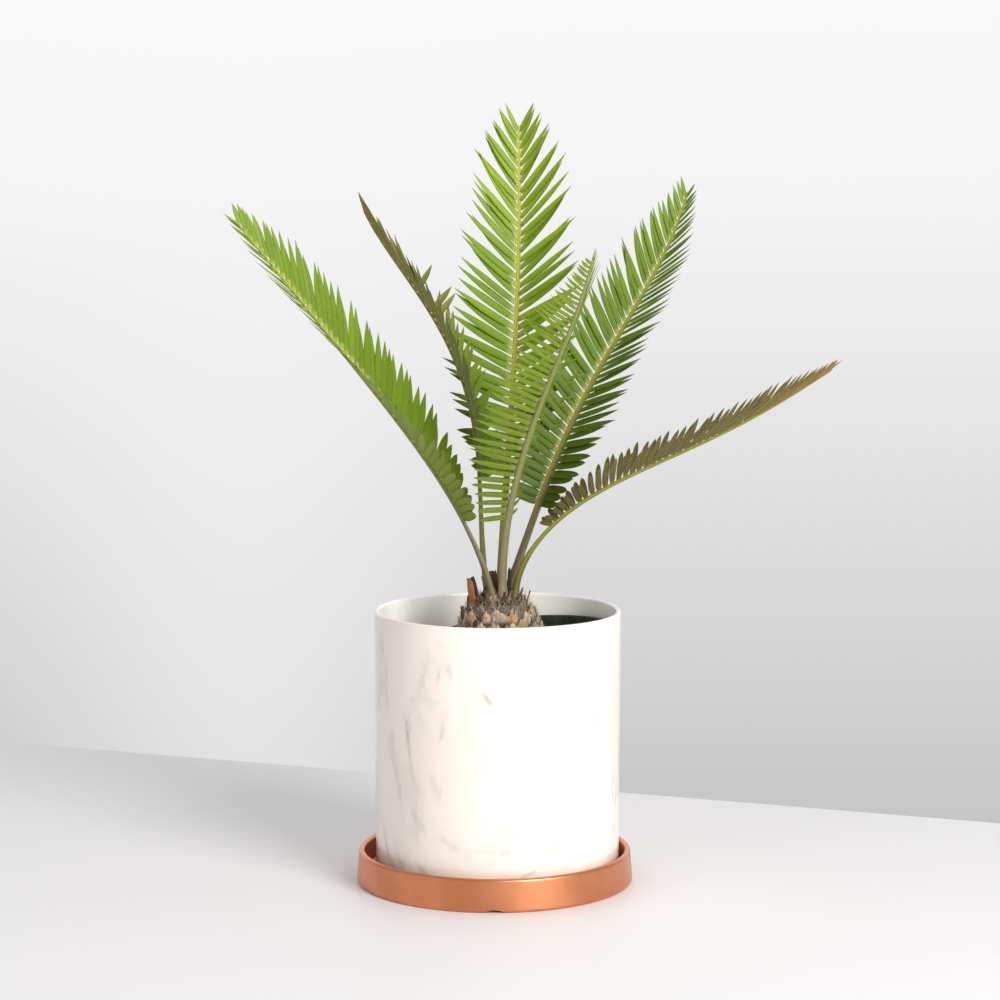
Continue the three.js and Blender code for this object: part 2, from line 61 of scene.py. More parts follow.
def steps(stops, value):
    """The value of a line through (place, value) stops; the values may be colours."""
    if value <= stops[0][0]:
        return np.array(stops[0][1], float)
    for (a, low), (b, high) in zip(stops, stops[1:]):
        if value <= b:
            return blend(np.array(low, float), np.array(high, float), (value - a) / (b - a))
    return np.array(stops[-1][1], float)


def unit(vector):
    return vector / np.linalg.norm(vector)


def turn(vector, axis, degrees):
    angle = math.radians(degrees)
    return (
        vector * math.cos(angle)
        + np.cross(axis, vector) * math.sin(angle)
        + axis * (axis @ vector) * (1 - math.cos(angle))
    )


def wobble(point, size, seed=0.0):
    """Smooth noise from about -1 to 1, with features of the given size in mm."""
    x, y, z = point
    return noise.noise(Vector((x / size + seed, y / size - seed, z / size + 2 * seed)))


def shade(red, green, blue):
    """A colour given in 0 to 255 screen values, as linear light."""
    made = []
    for value in (red, green, blue):
        v = value / 255
        made.append(v / 12.92 if v <= 0.04045 else ((v + 0.055) / 1.055) ** 2.4)
    return np.array(made)


def arc(centre_radius, centre_z, radius, start, end, count):
    """Points of a round corner as (radius, height), from one angle to another in degrees."""
    points = []
    for i in range(count + 1):
        angle = math.radians(blend(start, end, i / count))
        points.append((centre_radius + radius * math.cos(angle), centre_z + radius * math.sin(angle)))
    return points


# ---- meshes --------------------------------------------------------------------------------------
class Surface:
    """Gathers the faces of one piece, with a tint and a place painted on each point."""

    def __init__(self):
        self.points, self.tints, self.places = [], [], []
        self.faces, self.finishes, self.smooth = [], [], []

    def add(self, points, faces, tint, place=(0, 0, 0), finish=0, smooth=True):
        first = len(self.points)
        count = len(points)
        self.points.extend(points)
        self.tints.extend(np.broadcast_to(tint, (count, 3)))
        self.places.extend(np.broadcast_to(place, (count, 3)))
        for index, face in enumerate(faces):
            self.faces.append([first + i for i in face])
            self.finishes.append(finish if isinstance(finish, int) else finish[index])
            self.smooth.append(smooth if isinstance(smooth, bool) else smooth[index])

    def piece(self, name, finishes):
        mesh = bpy.data.meshes.new(name)
        mesh.from_pydata((np.array(self.points) * MM).tolist(), [], self.faces)
        for finish in finishes:
            mesh.materials.append(finish)
        mesh.polygons.foreach_set("material_index", self.finishes)
        mesh.polygons.foreach_set("use_smooth", self.smooth)
        tint = mesh.attributes.new("tint", "FLOAT_COLOR", "POINT")
        opaque = np.hstack([np.clip(self.tints, 0, 1), np.ones((len(self.points), 1))])
        tint.data.foreach_set("color", opaque.astype(np.float32).ravel())
        place = mesh.attributes.new("place", "FLOAT_VECTOR", "POINT")
        place.data.foreach_set("vector", np.array(self.places, np.float32).ravel())
        mesh.validate()
        mesh.update()
        made = bpy.data.objects.new(name, mesh)
        bpy.context.scene.collection.objects.link(made)
        return made


def ring_faces(rings, around, closed=False):
    """Quads between rings of as many points each; closed joins the last ring to the first."""
    faces = []
    for i in range(rings if closed else rings - 1):
        low, high = i * around, (i + 1) % rings * around
        for j in range(around):
            k = (j + 1) % around
            faces.append((low + j, low + k, high + k, high + j))
    return faces


def turned(surface, profile, around, centre, closed=False, shift=None, tint=(1, 1, 1)):
    """A body of revolution from (radius, height) points, up its outside and down its inside."""
    points = []
    for radius, z in profile:
        for j in range(around):
            angle = 2 * math.pi * j / around
            point = np.array([radius * math.cos(angle), radius * math.sin(angle), z])
            points.append(centre + (shift(point) if shift else point))
    surface.add(points, ring_faces(len(profile), around, closed), tint)


def tube(surface, rings, tint, place=(0, 0, 0), finish=0):
    """A closed tube through rings of points, with its ends filled."""
    around = len(rings[0])
    points = [point for ring in rings for point in ring]
    faces = ring_faces(len(rings), around)
    faces.append(tuple(reversed(range(around))))
    faces.append(tuple(range(len(points) - around, len(points))))
    smooth = [True] * (len(faces) - 2) + [False, False]
    surface.add(points, faces, tint, place, finish, smooth)


# ---- finishes ------------------------------------------------------------------------------------
class Wire:
    """One socket of a finish, so that maths on it reads as arithmetic."""

    def __init__(self, finish, socket):
        self.finish, self.socket = finish, socket

    def maths(self, operation, first, second=0.0):
        return self.finish.node("ShaderNodeMath", {"operation": operation}, {0: first, 1: second})

    def __add__(self, other):
        return self.maths("ADD", self, other)

    def __radd__(self, other):
        return self.maths("ADD", other, self)

    def __sub__(self, other):
        return self.maths("SUBTRACT", self, other)

    def __rsub__(self, other):
        return self.maths("SUBTRACT", other, self)

    def __mul__(self, other):
        return self.maths("MULTIPLY", self, other)

    def __rmul__(self, other):
        return self.maths("MULTIPLY", other, self)

    def __truediv__(self, other):
        return self.maths("DIVIDE", self, other)

    def __rtruediv__(self, other):
        return self.maths("DIVIDE", other, self)

    def __abs__(self):
        return self.maths("ABSOLUTE", self)

    def clamped(self):
        settings = {"operation": "ADD", "use_clamp": True}
        return self.finish.node("ShaderNodeMath", settings, {0: self, 1: 0.0})


class Finish:
    """A procedural material on one Principled shader."""

    def __init__(self, name, **constants):
        self.material = bpy.data.materials.new(name)
        self.material.use_nodes = True
        self.tree = self.material.node_tree
        self.shader = self.tree.nodes["Principled BSDF"]
        for socket, value in constants.items():
            self.shader.inputs[socket.replace("_", " ")].default_value = value

    def node(self, kind, settings=None, sockets=None, output=0):
        made = self.tree.nodes.new(kind)
        for key, value in (settings or {}).items():
            setattr(made, key, value)
        for key, value in (sockets or {}).items():
            if isinstance(value, Wire):
                self.tree.links.new(value.socket, made.inputs[key])
            else:
                made.inputs[key].default_value = value
        return Wire(self, made.outputs[output])

    def where(self):
        return self.node("ShaderNodeTexCoord", output="Object")

    def stretched(self, scale, rotation=(0, 0, 0)):
        """Object coordinates, turned and then scaled, in units of 1 / scale metres."""
        return self.node(
            "ShaderNodeMapping", {"vector_type": "POINT"},
            {"Vector": self.where(), "Rotation": [math.radians(a) for a in rotation], "Scale": scale},
        )

    def grain(self, vector, scale, detail=3.0, roughness=0.5, distortion=0.0):
        """Fractal noise from 0 to 1."""
        return self.node(
            "ShaderNodeTexNoise", {"noise_dimensions": "3D"},
            {"Vector": vector, "Scale": scale, "Detail": detail, "Roughness": roughness,
             "Distortion": distortion},
        )

    def band(self, value, low, high):
        """A smooth step from 0 at low to 1 at high."""
        return self.node(
            "ShaderNodeMapRange", {"interpolation_type": "SMOOTHSTEP"},
            {"Value": value, "From Min": low, "From Max": high, "To Min": 0.0, "To Max": 1.0},
        )

    def tinted(self, share, low, high):
        """A colour between two colours or colour wires."""
        ends = [value if isinstance(value, Wire) else (*value, 1) for value in (low, high)]
        sockets = {0: share, 6: ends[0], 7: ends[1]}
        return self.node("ShaderNodeMix", {"data_type": "RGBA"}, sockets, output=2)

    def scaled_tint(self, colour, amount):
        """A colour times a number wire."""
        return self.node("ShaderNodeVectorMath", {"operation": "SCALE"}, {0: colour, 3: amount})

    def painted(self, name):
        return self.node("ShaderNodeAttribute", {"attribute_name": name}, output="Color")

    def parts(self, vector):
        """The three numbers of a vector wire."""
        split = self.node("ShaderNodeSeparateXYZ", {}, {0: vector})
        return [Wire(self, output) for output in split.socket.node.outputs]

    def placed(self):
        """The painted place as three number wires."""
        return self.parts(self.node("ShaderNodeAttribute", {"attribute_name": "place"}, output="Vector"))

    def feed(self, **wires):
        for socket, wire in wires.items():
            self.tree.links.new(wire.socket, self.shader.inputs[socket.replace("_", " ")])

    def bump(self, height, depth, strength=1.0):
        """Feeds a height from 0 to 1, worth depth in mm, to the shader's normal."""
        made = self.node(
            "ShaderNodeBump", {}, {"Height": height, "Distance": depth * MM, "Strength": strength}
        )
        self.feed(Normal=made)


def copper_coat():
    finish = Finish("copper_coat", Metallic=0.92, Coat_Weight=0.12, Coat_Roughness=0.25)
    cloud = finish.grain(finish.where(), 28, 3)
    speck = finish.grain(finish.where(), 2600, 2)
    streak = finish.grain(finish.stretched((1, 1, 9)), 60, 4)
    finish.feed(Base_Color=finish.tinted(finish.band(cloud, 0.3, 0.7), COPPER_DEEP, COPPER_LIGHT))
    finish.feed(Roughness=0.27 + speck * 0.1 + streak * 0.06)
    finish.bump(speck, 0.02, 0.5)
    return finish.material


def marbled_glaze():
    """White glaze with the painted smudges of its marbling, broken up by fine streaks."""
    finish = Finish("marbled_glaze", Coat_Weight=0.3, Coat_Roughness=0.06)
    smudge, inside, _ = finish.placed()
    drift = finish.grain(finish.where(), 13, 3)
    streak = finish.grain(finish.stretched((1, 1, 0.45)), 190, 5, 0.6, 0.6)
    cloud = finish.grain(finish.stretched((1, 1, 0.6)), 34, 4, 0.55, 1.0)
    haze = finish.band(cloud, 0.5, 0.8) * 0.2 * (1 - inside)
    marks = (smudge * finish.band(streak, 0.2, 0.8) * 0.85 + haze).clamped()
    wall = finish.tinted(finish.band(drift, 0.3, 0.7), GLAZE_WARM, GLAZE_WHITE)
    # The inner wall is painted whiter than the outer glaze: painted light.
    body = finish.tinted(inside, wall, GLAZE_INSIDE_PAINTED_LIGHT)
    finish.feed(Base_Color=finish.tinted(marks, body, GLAZE_SMUDGE))
    finish.feed(Roughness=0.14 + drift * 0.07)
    finish.bump(finish.grain(finish.where(), 55, 2), 0.12, 0.35)
    return finish.material


def nursery_plastic():
    finish = Finish("nursery_plastic")
    scuff = finish.grain(finish.stretched((1, 1, 5)), 160, 5)
    dust = finish.band(finish.grain(finish.where(), 60, 4), 0.5, 0.75)
    finish.feed(Base_Color=finish.tinted(dust * 0.3, PLASTIC_GREEN, PLASTIC_DUST))
    finish.feed(Roughness=0.36 + scuff * 0.25)
    finish.bump(scuff, 0.06, 0.4)
    return finish.material


def crumbly_mix():
    finish = Finish("crumbly_mix")
    crumb = finish.grain(finish.where(), 420, 6, 0.65)
    clod = finish.grain(finish.where(), 110, 4)
    dark = finish.tinted(finish.band(crumb, 0.35, 0.65), MIX_DARK, MIX_BROWN)
    finish.feed(Base_Color=finish.tinted(finish.band(clod, 0.55, 0.75), dark, MIX_PALE))
    finish.feed(Roughness=0.85 + crumb * 0.12)
    finish.bump(crumb + clod, 0.9, 0.8)
    return finish.material


def grown_finish(name, grain_size, streak, depth, gloss, contrast=0.35, **constants):
    """Dry or living tissue: a painted tint, broken up by streaks along the piece and by fine grain."""
    finish = Finish(name, **constants)
    across, along, chance = finish.placed()
    lines = finish.node("ShaderNodeCombineXYZ", {}, {0: across * streak, 1: along, 2: chance * 17})
    streaks = finish.grain(lines, 1.0, 4, 0.6)
    grain = finish.grain(finish.where(), 1000 / grain_size, 4, 0.6)
    light = 1 - contrast + (streaks + grain) * contrast
    finish.feed(Base_Color=finish.scaled_tint(finish.painted("tint"), light))
    finish.feed(Roughness=gloss + grain * 0.2)
    finish.bump(streaks * 0.7 + grain * 0.3, depth, 0.7)
    return finish.material


def leaflet_finish(name, veins, gloss, depth, **constants):
    """A leathery leaflet: even veins along it, a paler edge and soft mottling."""
    finish = Finish(name, **constants)
    across, along, chance = finish.placed()
    ribs = finish.node("ShaderNodeMath", {"operation": "SINE"}, {0: across * veins})
    rib = ribs * 0.5 + 0.5
    mottle = finish.grain(finish.where(), 230, 3)
    broad = finish.grain(finish.where(), 45, 2)
    edge = finish.band(abs(across), 0.8, 1.0)
    # The across * 0.05 term paints one side of each leaflet lighter than the other: painted shade.
    light = 0.86 + rib * 0.08 + mottle * 0.14 + (broad - 0.5) * 0.24 + across * 0.05
    body = finish.scaled_tint(finish.painted("tint"), light)
    finish.feed(Base_Color=finish.tinted(edge * 0.3, body, LEAF_EDGE))
    finish.feed(Roughness=gloss + mottle * 0.16)
    finish.bump(rib * 0.6 + mottle * 0.4, depth, 0.25)
    return finish.material


def table_finish():
    finish = Finish("table_coat", Roughness=0.5, Specular_IOR_Level=0.3)
    _, y, _ = finish.parts(finish.where())
    # The table is painted darker towards its back: painted shade.
    back = finish.band(y, *TABLE_FADE)
    finish.feed(Base_Color=finish.tinted(back, TABLE_FRONT, TABLE_BACK))
    return finish.material


def studio_finish():
    """The glow of the studio's sweep: it darkens towards the table and away from a soft pool of light."""
    dull = dict(Base_Color=(0, 0, 0, 1), Specular_IOR_Level=0.0, Roughness=1.0)
    finish = Finish("studio_glow", Emission_Strength=1.0, **dull)
    x, y, z = finish.parts(finish.where())
    near = 1 / (y + STUDIO_FRONT)
    pool = 1 - finish.band(abs(x * near - POOL_SIDE), 0.0, POOL_WIDTH)
    glow = GLOW_FAR - near * (GLOW_FALL - pool * POOL_LIFT) + z * GLOW_RISE
    finish.feed(Emission_Color=finish.scaled_tint(GLOW_TINT, glow))
    return finish.material


COPPER_DEEP = shade(205, 128, 88)
COPPER_LIGHT = shade(222, 146, 104)
GLAZE_WHITE = shade(250, 243, 233)
GLAZE_WARM = shade(247, 236, 224)
# The inner wall's colour, whiter than the outer glaze: painted light.
GLAZE_INSIDE_PAINTED_LIGHT = shade(255, 254, 247)
GLAZE_SMUDGE = shade(128, 116, 110)
# The table's colour at its front and at its back; the darker back is painted shade.
TABLE_FRONT = shade(246, 245, 246)
TABLE_BACK = shade(238, 237, 237)
TABLE_FADE = (-0.7, 0.35)
GLOW_TINT = (1.0, 0.994, 1.0)
# The sweep's glow: its start in front of the plant, its strength far off, its fall nearer by and its rise
# with height, then the side, width and lift of its pool of light.
STUDIO_FRONT = 1.683
GLOW_FAR, GLOW_FALL, GLOW_RISE = 0.918, 0.68, 0.0094
POOL_SIDE, POOL_WIDTH, POOL_LIFT = -0.09, 0.12, 0.36
PLASTIC_GREEN = shade(34, 44, 33)
PLASTIC_DUST = shade(92, 92, 72)
MIX_DARK = shade(38, 27, 19)
MIX_BROWN = shade(84, 62, 44)
MIX_PALE = shade(126, 102, 78)
LEAF_EDGE = shade(128, 148, 44)
CALLUS = shade(206, 204, 122)
CREAM = shade(226, 210, 184)
TAN = shade(178, 152, 122)
ORANGE = shade(180, 118, 58)
ASH = shade(150, 136, 120)
UMBER = shade(84, 58, 38)
SOOT = shade(36, 26, 20)

FINISH = {
    "copper": copper_coat(),
    "glaze": marbled_glaze(),
    "plastic": nursery_plastic(),
    "mix": crumbly_mix(),
    "chip": grown_finish("bark_chip", 2.5, 3.0, 0.5, 0.75),
    "scale": grown_finish("leaf_base", 1.0, 9.0, 0.9, 0.78, 0.8, Specular_IOR_Level=0.2),
    "wool": grown_finish("stem_wool", 1.5, 1.0, 0.1, 0.85, 0.3, Specular_IOR_Level=0.1),
    "stub": grown_finish("dry_stub", 1.2, 8.0, 0.3, 0.6, 0.5),
    "stalk": grown_finish("frond_stalk", 1.6, 6.0, 0.14, 0.42, 0.3),
    "upper": leaflet_finish("leaflet_upper", 14.0, 0.42, 0.05, Specular_IOR_Level=0.28),
    "under": leaflet_finish("leaflet_under", 16.0, 0.55, 0.06, Specular_IOR_Level=0.2),
}


def keep(made, slot, *nodes):
    """The piece rides with the plant and stands for the named nodes; slot is not used."""
    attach(made, "root")
    if nodes:
        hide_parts(*nodes)
    return made


# ---- saucer --------------------------------------------------------------------------------------
# Radius of the innermost ring of a turned piece.
PINHOLE = 0.01


def box_mm(node):
    low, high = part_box(node)
    return np.array(low) / MM, np.array(high) / MM


def saucer():
    low, high = box_mm("saucer")
    foot = (high[0] - low[0]) / 2
    height = high[2]
    draft, wall, floor_z, skirt, skirt_wide, edge, cove = 1.2, 3.7, 5.2, 2.2, 6.5, 1.6, 2.5
    centre_foot, notch_half, notch_high = 14.0, 6.0, 1.6
    top = foot - draft
    bar = (notch_half**2 + notch_high**2) / (2 * notch_high)
    crest = wall / 2

    def notched(point):
        x, y, z = point
        if y > 0 or z > skirt or abs(x) >= notch_half:
            return point
        lift = math.sqrt(bar**2 - x**2) - (bar - notch_high)
        return np.array([x, y, z + lift * (1 - z / skirt)])

    profile = [(PINHOLE, 0.0), (centre_foot, 0.0), (centre_foot + skirt, skirt)]
    profile += [(foot - skirt_wide - skirt, skirt), (foot - skirt_wide, 0.0)]
    profile += arc(foot - edge, edge, edge, -90, 0, 6)
    profile += [(foot - 0.02, skirt), (foot - 0.35, height * 0.3), (foot - 0.8, height * 0.65)]
    profile += arc(top - crest, height - crest, crest, 0, 180, 14)
    profile += arc(top - wall - cove, floor_z + cove, cove, 0, -90, 8)
    profile += [(foot * 0.5, floor_z), (PINHOLE, floor_z)]
    surface = Surface()
    turned(surface, profile, 360, np.zeros(3), shift=notched)
    keep(surface.piece("copper_saucer", [FINISH["copper"]]), "copper_finish", "saucer")


# ---- planter -------------------------------------------------------------------------------------
# Marks of the marbling on the front: degrees round from the front (to the right), height, half length, half
# width (mm), slant (degrees, 90 is upright) and strength.
FRONT_MARKS = [
    (-45, 100, 6, 1.5, 84, 0.85), (-44.5, 90, 9, 1.0, 98, 0.4), (-43, 76, 10, 1.2, 104, 0.28),
    (-36, 130, 6, 1.8, 86, 0.42), (-27, 132, 4, 1.3, 80, 0.4), (-21.5, 132, 3.5, 1.1, 88, 0.42),
    (-23, 136, 3, 1.0, 60, 0.3), (-5, 121, 5, 1.5, 124, 0.6), (-2.5, 117, 3, 1.0, 130, 0.4),
    (-25, 105, 6, 1.4, 84, 0.32), (-26, 98, 5, 1.3, 84, 0.3), (-66, 144, 9, 1.2, 90, 0.4),
    (-62, 120, 12, 1.4, 90, 0.3), (21.5, 110, 5, 1.6, 40, 0.32), (32, 107, 8, 1.1, 52, 0.34),
    (29, 101, 4, 1.3, 44, 0.34), (40, 124, 12, 0.8, 80, 0.3), (68, 100, 22, 0.7, 90, 0.42),
    (62, 74, 10, 1.0, 82, 0.35), (69, 57, 9, 1.6, 84, 0.75), (74, 50, 8, 1.4, 80, 0.6),
    (58, 40, 12, 1.6, 66, 0.3), (70, 30, 10, 2.0, 70, 0.34), (9, 11.5, 10, 1.3, 20, 0.62),
    (1, 9.5, 8, 1.2, 6, 0.5), (14, 14.5, 5, 0.9, 28, 0.5), (-18, 9.8, 6, 0.9, 4, 0.62),
    (-34, 12, 8, 1.2, 146, 0.5), (-29, 7, 8, 1.1, 152, 0.6), (-57, 11, 8, 1.5, 132, 0.6),
    (-52, 17, 7, 1.2, 128, 0.4), (-64, 24, 12, 1.6, 112, 0.36), (-24, 33, 14, 2.0, 150, 0.3),
    (0, 28, 16, 2.2, 176, 0.26), (28, 30, 14, 2.2, 18, 0.26), (-40, 46, 14, 2.4, 128, 0.24),
    (-52, 62, 14, 2.0, 110, 0.26), (26, 7, 7, 1.4, 24, 0.36), (45, 12, 8, 1.6, 38, 0.3),
    (-30, 66, 8, 2.0, 110, 0.22), (-27, 62, 4, 1.2, 80, 0.26), (38, 20, 10, 1.6, 30, 0.26),
]
BACK_MARKS = 46
HAZE_LONGER, HAZE_WIDER, HAZE_STRENGTH = 1.7, 3.2, 0.22


def marks_on_planter(height):
    """The front's marks and, round the back, more of them that follow the same bowl-shaped sweep."""
    rng = random.Random(5)
    marks = list(FRONT_MARKS)
    for _ in range(BACK_MARKS):
        degrees = rng.uniform(84, 276)
        z = height * rng.random() ** 1.3
        lean = (degrees - 180) / 96 * blend(80, 20, ease(0.3, 0.8, z / height))
        slant = blend(lean, 90, ease(0.25, 0.7, z / height))
        half_length, half_width = rng.uniform(4, 15), rng.uniform(0.8, 2.2)
        marks.append((degrees, z, half_length, half_width, slant, rng.uniform(0.2, 0.75)))
    return marks


def marbling(angles, heights, radius, height):
    """How strongly each point of the wall is marked, from 0 to 1."""
    around = (np.degrees(angles) + 90 + 180) % 360 - 180
    total = np.zeros(len(angles))
    for degrees, z, half_length, half_width, slant, strength in marks_on_planter(height):
        apart = (around - degrees + 180) % 360 - 180
        across, up = np.radians(apart) * radius, heights - z
        tilt = math.radians(slant)
        along = across * math.cos(tilt) + up * math.sin(tilt)
        aside = up * math.cos(tilt) - across * math.sin(tilt)
        aside = aside + 0.05 * along * np.sin(along * 0.31 + degrees)
        total += strength * np.exp(-((along / half_length) ** 2) - (aside / half_width) ** 2)
        haze_along, haze_aside = along / (HAZE_LONGER * half_length), aside / (HAZE_WIDER * half_width)
        total += HAZE_STRENGTH * strength * np.exp(-(haze_along**2) - haze_aside**2)
    return np.clip(total, 0, 1)


def planter():
    low, high = box_mm("ceramic_pot")
    centre = np.array([(low[0] + high[0]) / 2, 0.0, low[2]])
    lip_radius = (high[0] - low[0]) / 2
    height = high[2] - low[2]
    draft, lip, wall, floor, corner, drain, recess, cove = 0.8, 1.6, 4.2, 5.5, 5.0, 8.0, 1.2, 4.0
    foot = lip_radius - draft
    inner_foot = blend(foot - wall, lip_radius - 2 * lip, floor / height)
    wall_rows = 130
    profile = [(drain, recess), (foot - 3 * corner, recess), (foot - 3 * corner + recess, 0.0)]
    profile += arc(foot - corner, corner, corner, -90, 0, 12)
    for i in range(1, wall_rows):
        share = i / wall_rows
        profile.append((blend(foot, lip_radius, share), blend(corner, height - lip, share)))
    profile += arc(lip_radius - lip, height - lip, lip, 0, 180, 14)
    for share in (0.25, 0.5, 0.75):
        radius = blend(lip_radius - 2 * lip, inner_foot, share)
        profile.append((radius, blend(height - lip, floor + cove, share)))
    profile += arc(inner_foot - cove, floor + cove, cove, 0, -90, 8)
    profile += [(drain + 0.8, floor), (drain, floor - 0.8)]
    surface = Surface()

    def hand_made(point):
        """The wall isn't quite true: it swells and dips by a few tenths of a millimetre."""
        x, y, z = point
        radius = math.hypot(x, y)
        swell = 0.35 * wobble(point, 90, 3.1) * ease(0, 20, z)
        lift = 0.25 * wobble(point, 70, 8.4) * ease(100, 160, z)
        return np.array([x + x / radius * swell, y + y / radius * swell, z + lift])

    turned(surface, profile, 480, centre, closed=True, shift=hand_made)
    points = np.array(surface.points) - centre
    radii = np.hypot(points[:, 0], points[:, 1])
    fade = 1.2
    outside = np.clip((radii - (lip_radius - 2.6)) / fade, 0, 1)
    marks = marbling(np.arctan2(points[:, 1], points[:, 0]), points[:, 2], lip_radius, height) * outside
    # The inner wall's share: the glaze paints it whiter there, as painted light, and keeps the haze off it.
    inside = np.clip((lip_radius - 2 - radii) / fade, 0, 1)
    surface.places = np.column_stack([marks, inside, inside])
    keep(surface.piece("marbled_planter", [FINISH["glaze"]]), "marbled_glaze", "ceramic_pot")


# ---- nursery pot and potting mix -----------------------------------------------------------------
NURSERY_HEIGHT, NURSERY_RIM, NURSERY_TOP, NURSERY_FOOT, NURSERY_WALL = 140.0, 56.5, 54.6, 42.0, 1.3
RIM_WIDEST_BELOW_TOP = 4
LEAN = math.radians(4)
SOIL_TOP = NURSERY_HEIGHT - 17
SOIL_GAP = 0.4
BARK_CHIPS = 330


def nursery_place():
    """The pot's own frame: it leans towards -X and stands on one side of its foot."""
    low, high = box_mm("nursery_pot")
    rim_z = NURSERY_HEIGHT - RIM_WIDEST_BELOW_TOP
    x = high[0] - (NURSERY_RIM * math.cos(LEAN) - rim_z * math.sin(LEAN))
    z = low[2] + NURSERY_FOOT * math.sin(LEAN)
    return np.array([x, 0.0, z])


def leant(point):
    x, y, z = point
    return np.array([x * math.cos(LEAN) - z * math.sin(LEAN), y, x * math.sin(LEAN) + z * math.cos(LEAN)])


def nursery_wall(z):
    return NURSERY_FOOT + (NURSERY_TOP - NURSERY_FOOT) * z / NURSERY_HEIGHT


def nursery_pot():
    rim_foot = NURSERY_HEIGHT - 5
    profile = [(PINHOLE, 0.0), (NURSERY_FOOT - 1, 0.0), (NURSERY_FOOT, 1.0)]
    profile += [(nursery_wall(z), z) for z in (30, 60, 90, 120, rim_foot)]
    profile += [(NURSERY_RIM, rim_foot + 1)]
    profile += arc(NURSERY_RIM - 1, NURSERY_HEIGHT - 1, 1, 0, 90, 6)
    profile += arc(nursery_wall(NURSERY_HEIGHT) - NURSERY_WALL + 0.4, NURSERY_HEIGHT - 0.4, 0.4, 90, 180, 4)
    profile += [(nursery_wall(z) - NURSERY_WALL, z) for z in (rim_foot, 90, 50, 3)]
    profile += [(nursery_wall(0) - NURSERY_WALL - 1.5, NURSERY_WALL), (PINHOLE, NURSERY_WALL)]
    surface = Surface()
    turned(surface, profile, 192, nursery_place(), shift=leant)
    keep(surface.piece("nursery_liner", [FINISH["plastic"]]), "nursery_plastic", "nursery_pot")


def soil():
    place = nursery_place()
    rng = random.Random(41)
    surface = Surface()
    rings, around, soil_foot = 40, 144, 2
    outer = nursery_wall(SOIL_TOP) - NURSERY_WALL - SOIL_GAP
    base = nursery_wall(soil_foot) - NURSERY_WALL - SOIL_GAP
    points = []
    for i in range(rings + 1):
        radius = outer * (i / rings) ** 0.9 + PINHOLE
        for j in range(around):
            angle = 2 * math.pi * j / around
            x, y = radius * math.cos(angle), radius * math.sin(angle)
            dip = -3 * ease(outer - 8, outer, radius)
            lump = 1.1 * wobble((x, y, 0), 14, 1.7) + 0.8 * wobble((x, y, 5), 5, 6.1)
            lump += 0.5 * wobble((x, y, 9), 2.2, 2.9)
            points.append(place + leant((x, y, SOIL_TOP + dip + lump - 0.6)))
    for j in range(around):
        angle = 2 * math.pi * j / around
        points.append(place + leant((base * math.cos(angle), base * math.sin(angle), soil_foot)))
    faces = [tuple(reversed(face)) for face in ring_faces(rings + 2, around)]
    faces.append(tuple(range(len(points) - around, len(points))))
    surface.add(points, faces, MIX_BROWN)
    keep(surface.piece("soil_bed", [FINISH["mix"]]), "potting_mix", "potting_mix")

    chips = Surface()
    for _ in range(BARK_CHIPS):
        angle = rng.uniform(0, 2 * math.pi)
        radius = outer * math.sqrt(rng.uniform(0.0, 0.93))
        size = rng.choice((1.0, 1.3, 1.7, 2.4, 3.4)) * rng.uniform(0.8, 1.2)
        if radius > outer - 1.8 * size:
            continue
        x, y = radius * math.cos(angle), radius * math.sin(angle)
        centre = place + leant((x, y, SOIL_TOP + 0.1 * size - 0.3))
        tint = rng.choice((UMBER, TAN * 0.7, MIX_BROWN, MIX_PALE, UMBER * 0.6, CREAM * 0.75))
        chip(chips, centre, size, rng, tint)
    keep(chips.piece("bark_chips", [FINISH["chip"]]), "potting_mix")


def chip(surface, centre, size, rng, tint):
    """A splinter of bark: a flattened, bent block with broken ends."""
    axis = unit(np.array([rng.uniform(-1, 1), rng.uniform(-1, 1), rng.uniform(-0.3, 0.3)]))
    side = unit(np.cross(axis, UP + 0.4 * np.array([rng.uniform(-1, 1), rng.uniform(-1, 1), 0])))
    top = np.cross(side, axis)
    length, width = size * rng.uniform(1.0, 2.0), size * rng.uniform(0.5, 0.9)
    depth = size * rng.uniform(0.25, 0.5)
    rings = []
    for i in range(6):
        share = i / 5
        girth = 0.55 + 0.45 * math.sin(math.pi * share) + rng.uniform(-0.1, 0.1)
        middle = centre + axis * length * (share - 0.5) + top * 0.3 * depth * rng.uniform(-1, 1)
        ring = []
        for j in range(7):
            angle = 2 * math.pi * j / 7
            push = girth * rng.uniform(0.8, 1.15)
            ring.append(middle + side * width * push * math.cos(angle) + top * depth * push * math.sin(angle))
        rings.append(ring)
    tube(surface, rings, tint * rng.uniform(0.75, 1.2), (0.5, 0.5, rng.random()))


# ---- caudex --------------------------------------------------------------------------------------
CAUDEX_X, CROWN_Z, CROWN_RADIUS, CAUDEX_RADIUS = 3.0, 174.0, 16.0, 26.0
WIDEST_BELOW_CROWN, ROOT_BELOW_CROWN, ROOT_RADIUS = 26.0, 92.0, 3.0
WIDEST_Z, ROOT_Z = CROWN_Z - WIDEST_BELOW_CROWN, CROWN_Z - ROOT_BELOW_CROWN
SOIL_Z = 134.0
BASE_TONES = (TAN * 1.3, ASH * 1.2, ASH * 1.4, CREAM * 0.85, blend(TAN, ORANGE, 0.3), CREAM * 0.7)
CROWN_TONES = (UMBER, UMBER * 0.6, ASH * 0.8, TAN * 0.8, CREAM * 0.85)
COLLAR_TONES = (UMBER, UMBER * 1.5, ASH, ASH * 0.8, TAN, CREAM * 0.85)
STEM_HAIRS, CROWN_HAIRS, COLLAR_STUBS = 2000, 520, 64


def caudex_radius(z):
    if z >= WIDEST_Z:
        share = (z - WIDEST_Z) / WIDEST_BELOW_CROWN
        return CAUDEX_RADIUS - (CAUDEX_RADIUS - CROWN_RADIUS) * share**2.2
    share = (WIDEST_Z - z) / (WIDEST_Z - ROOT_Z)
    return ROOT_RADIUS + (CAUDEX_RADIUS - ROOT_RADIUS) * max(0.0, math.cos(share * math.pi / 2)) ** 0.9


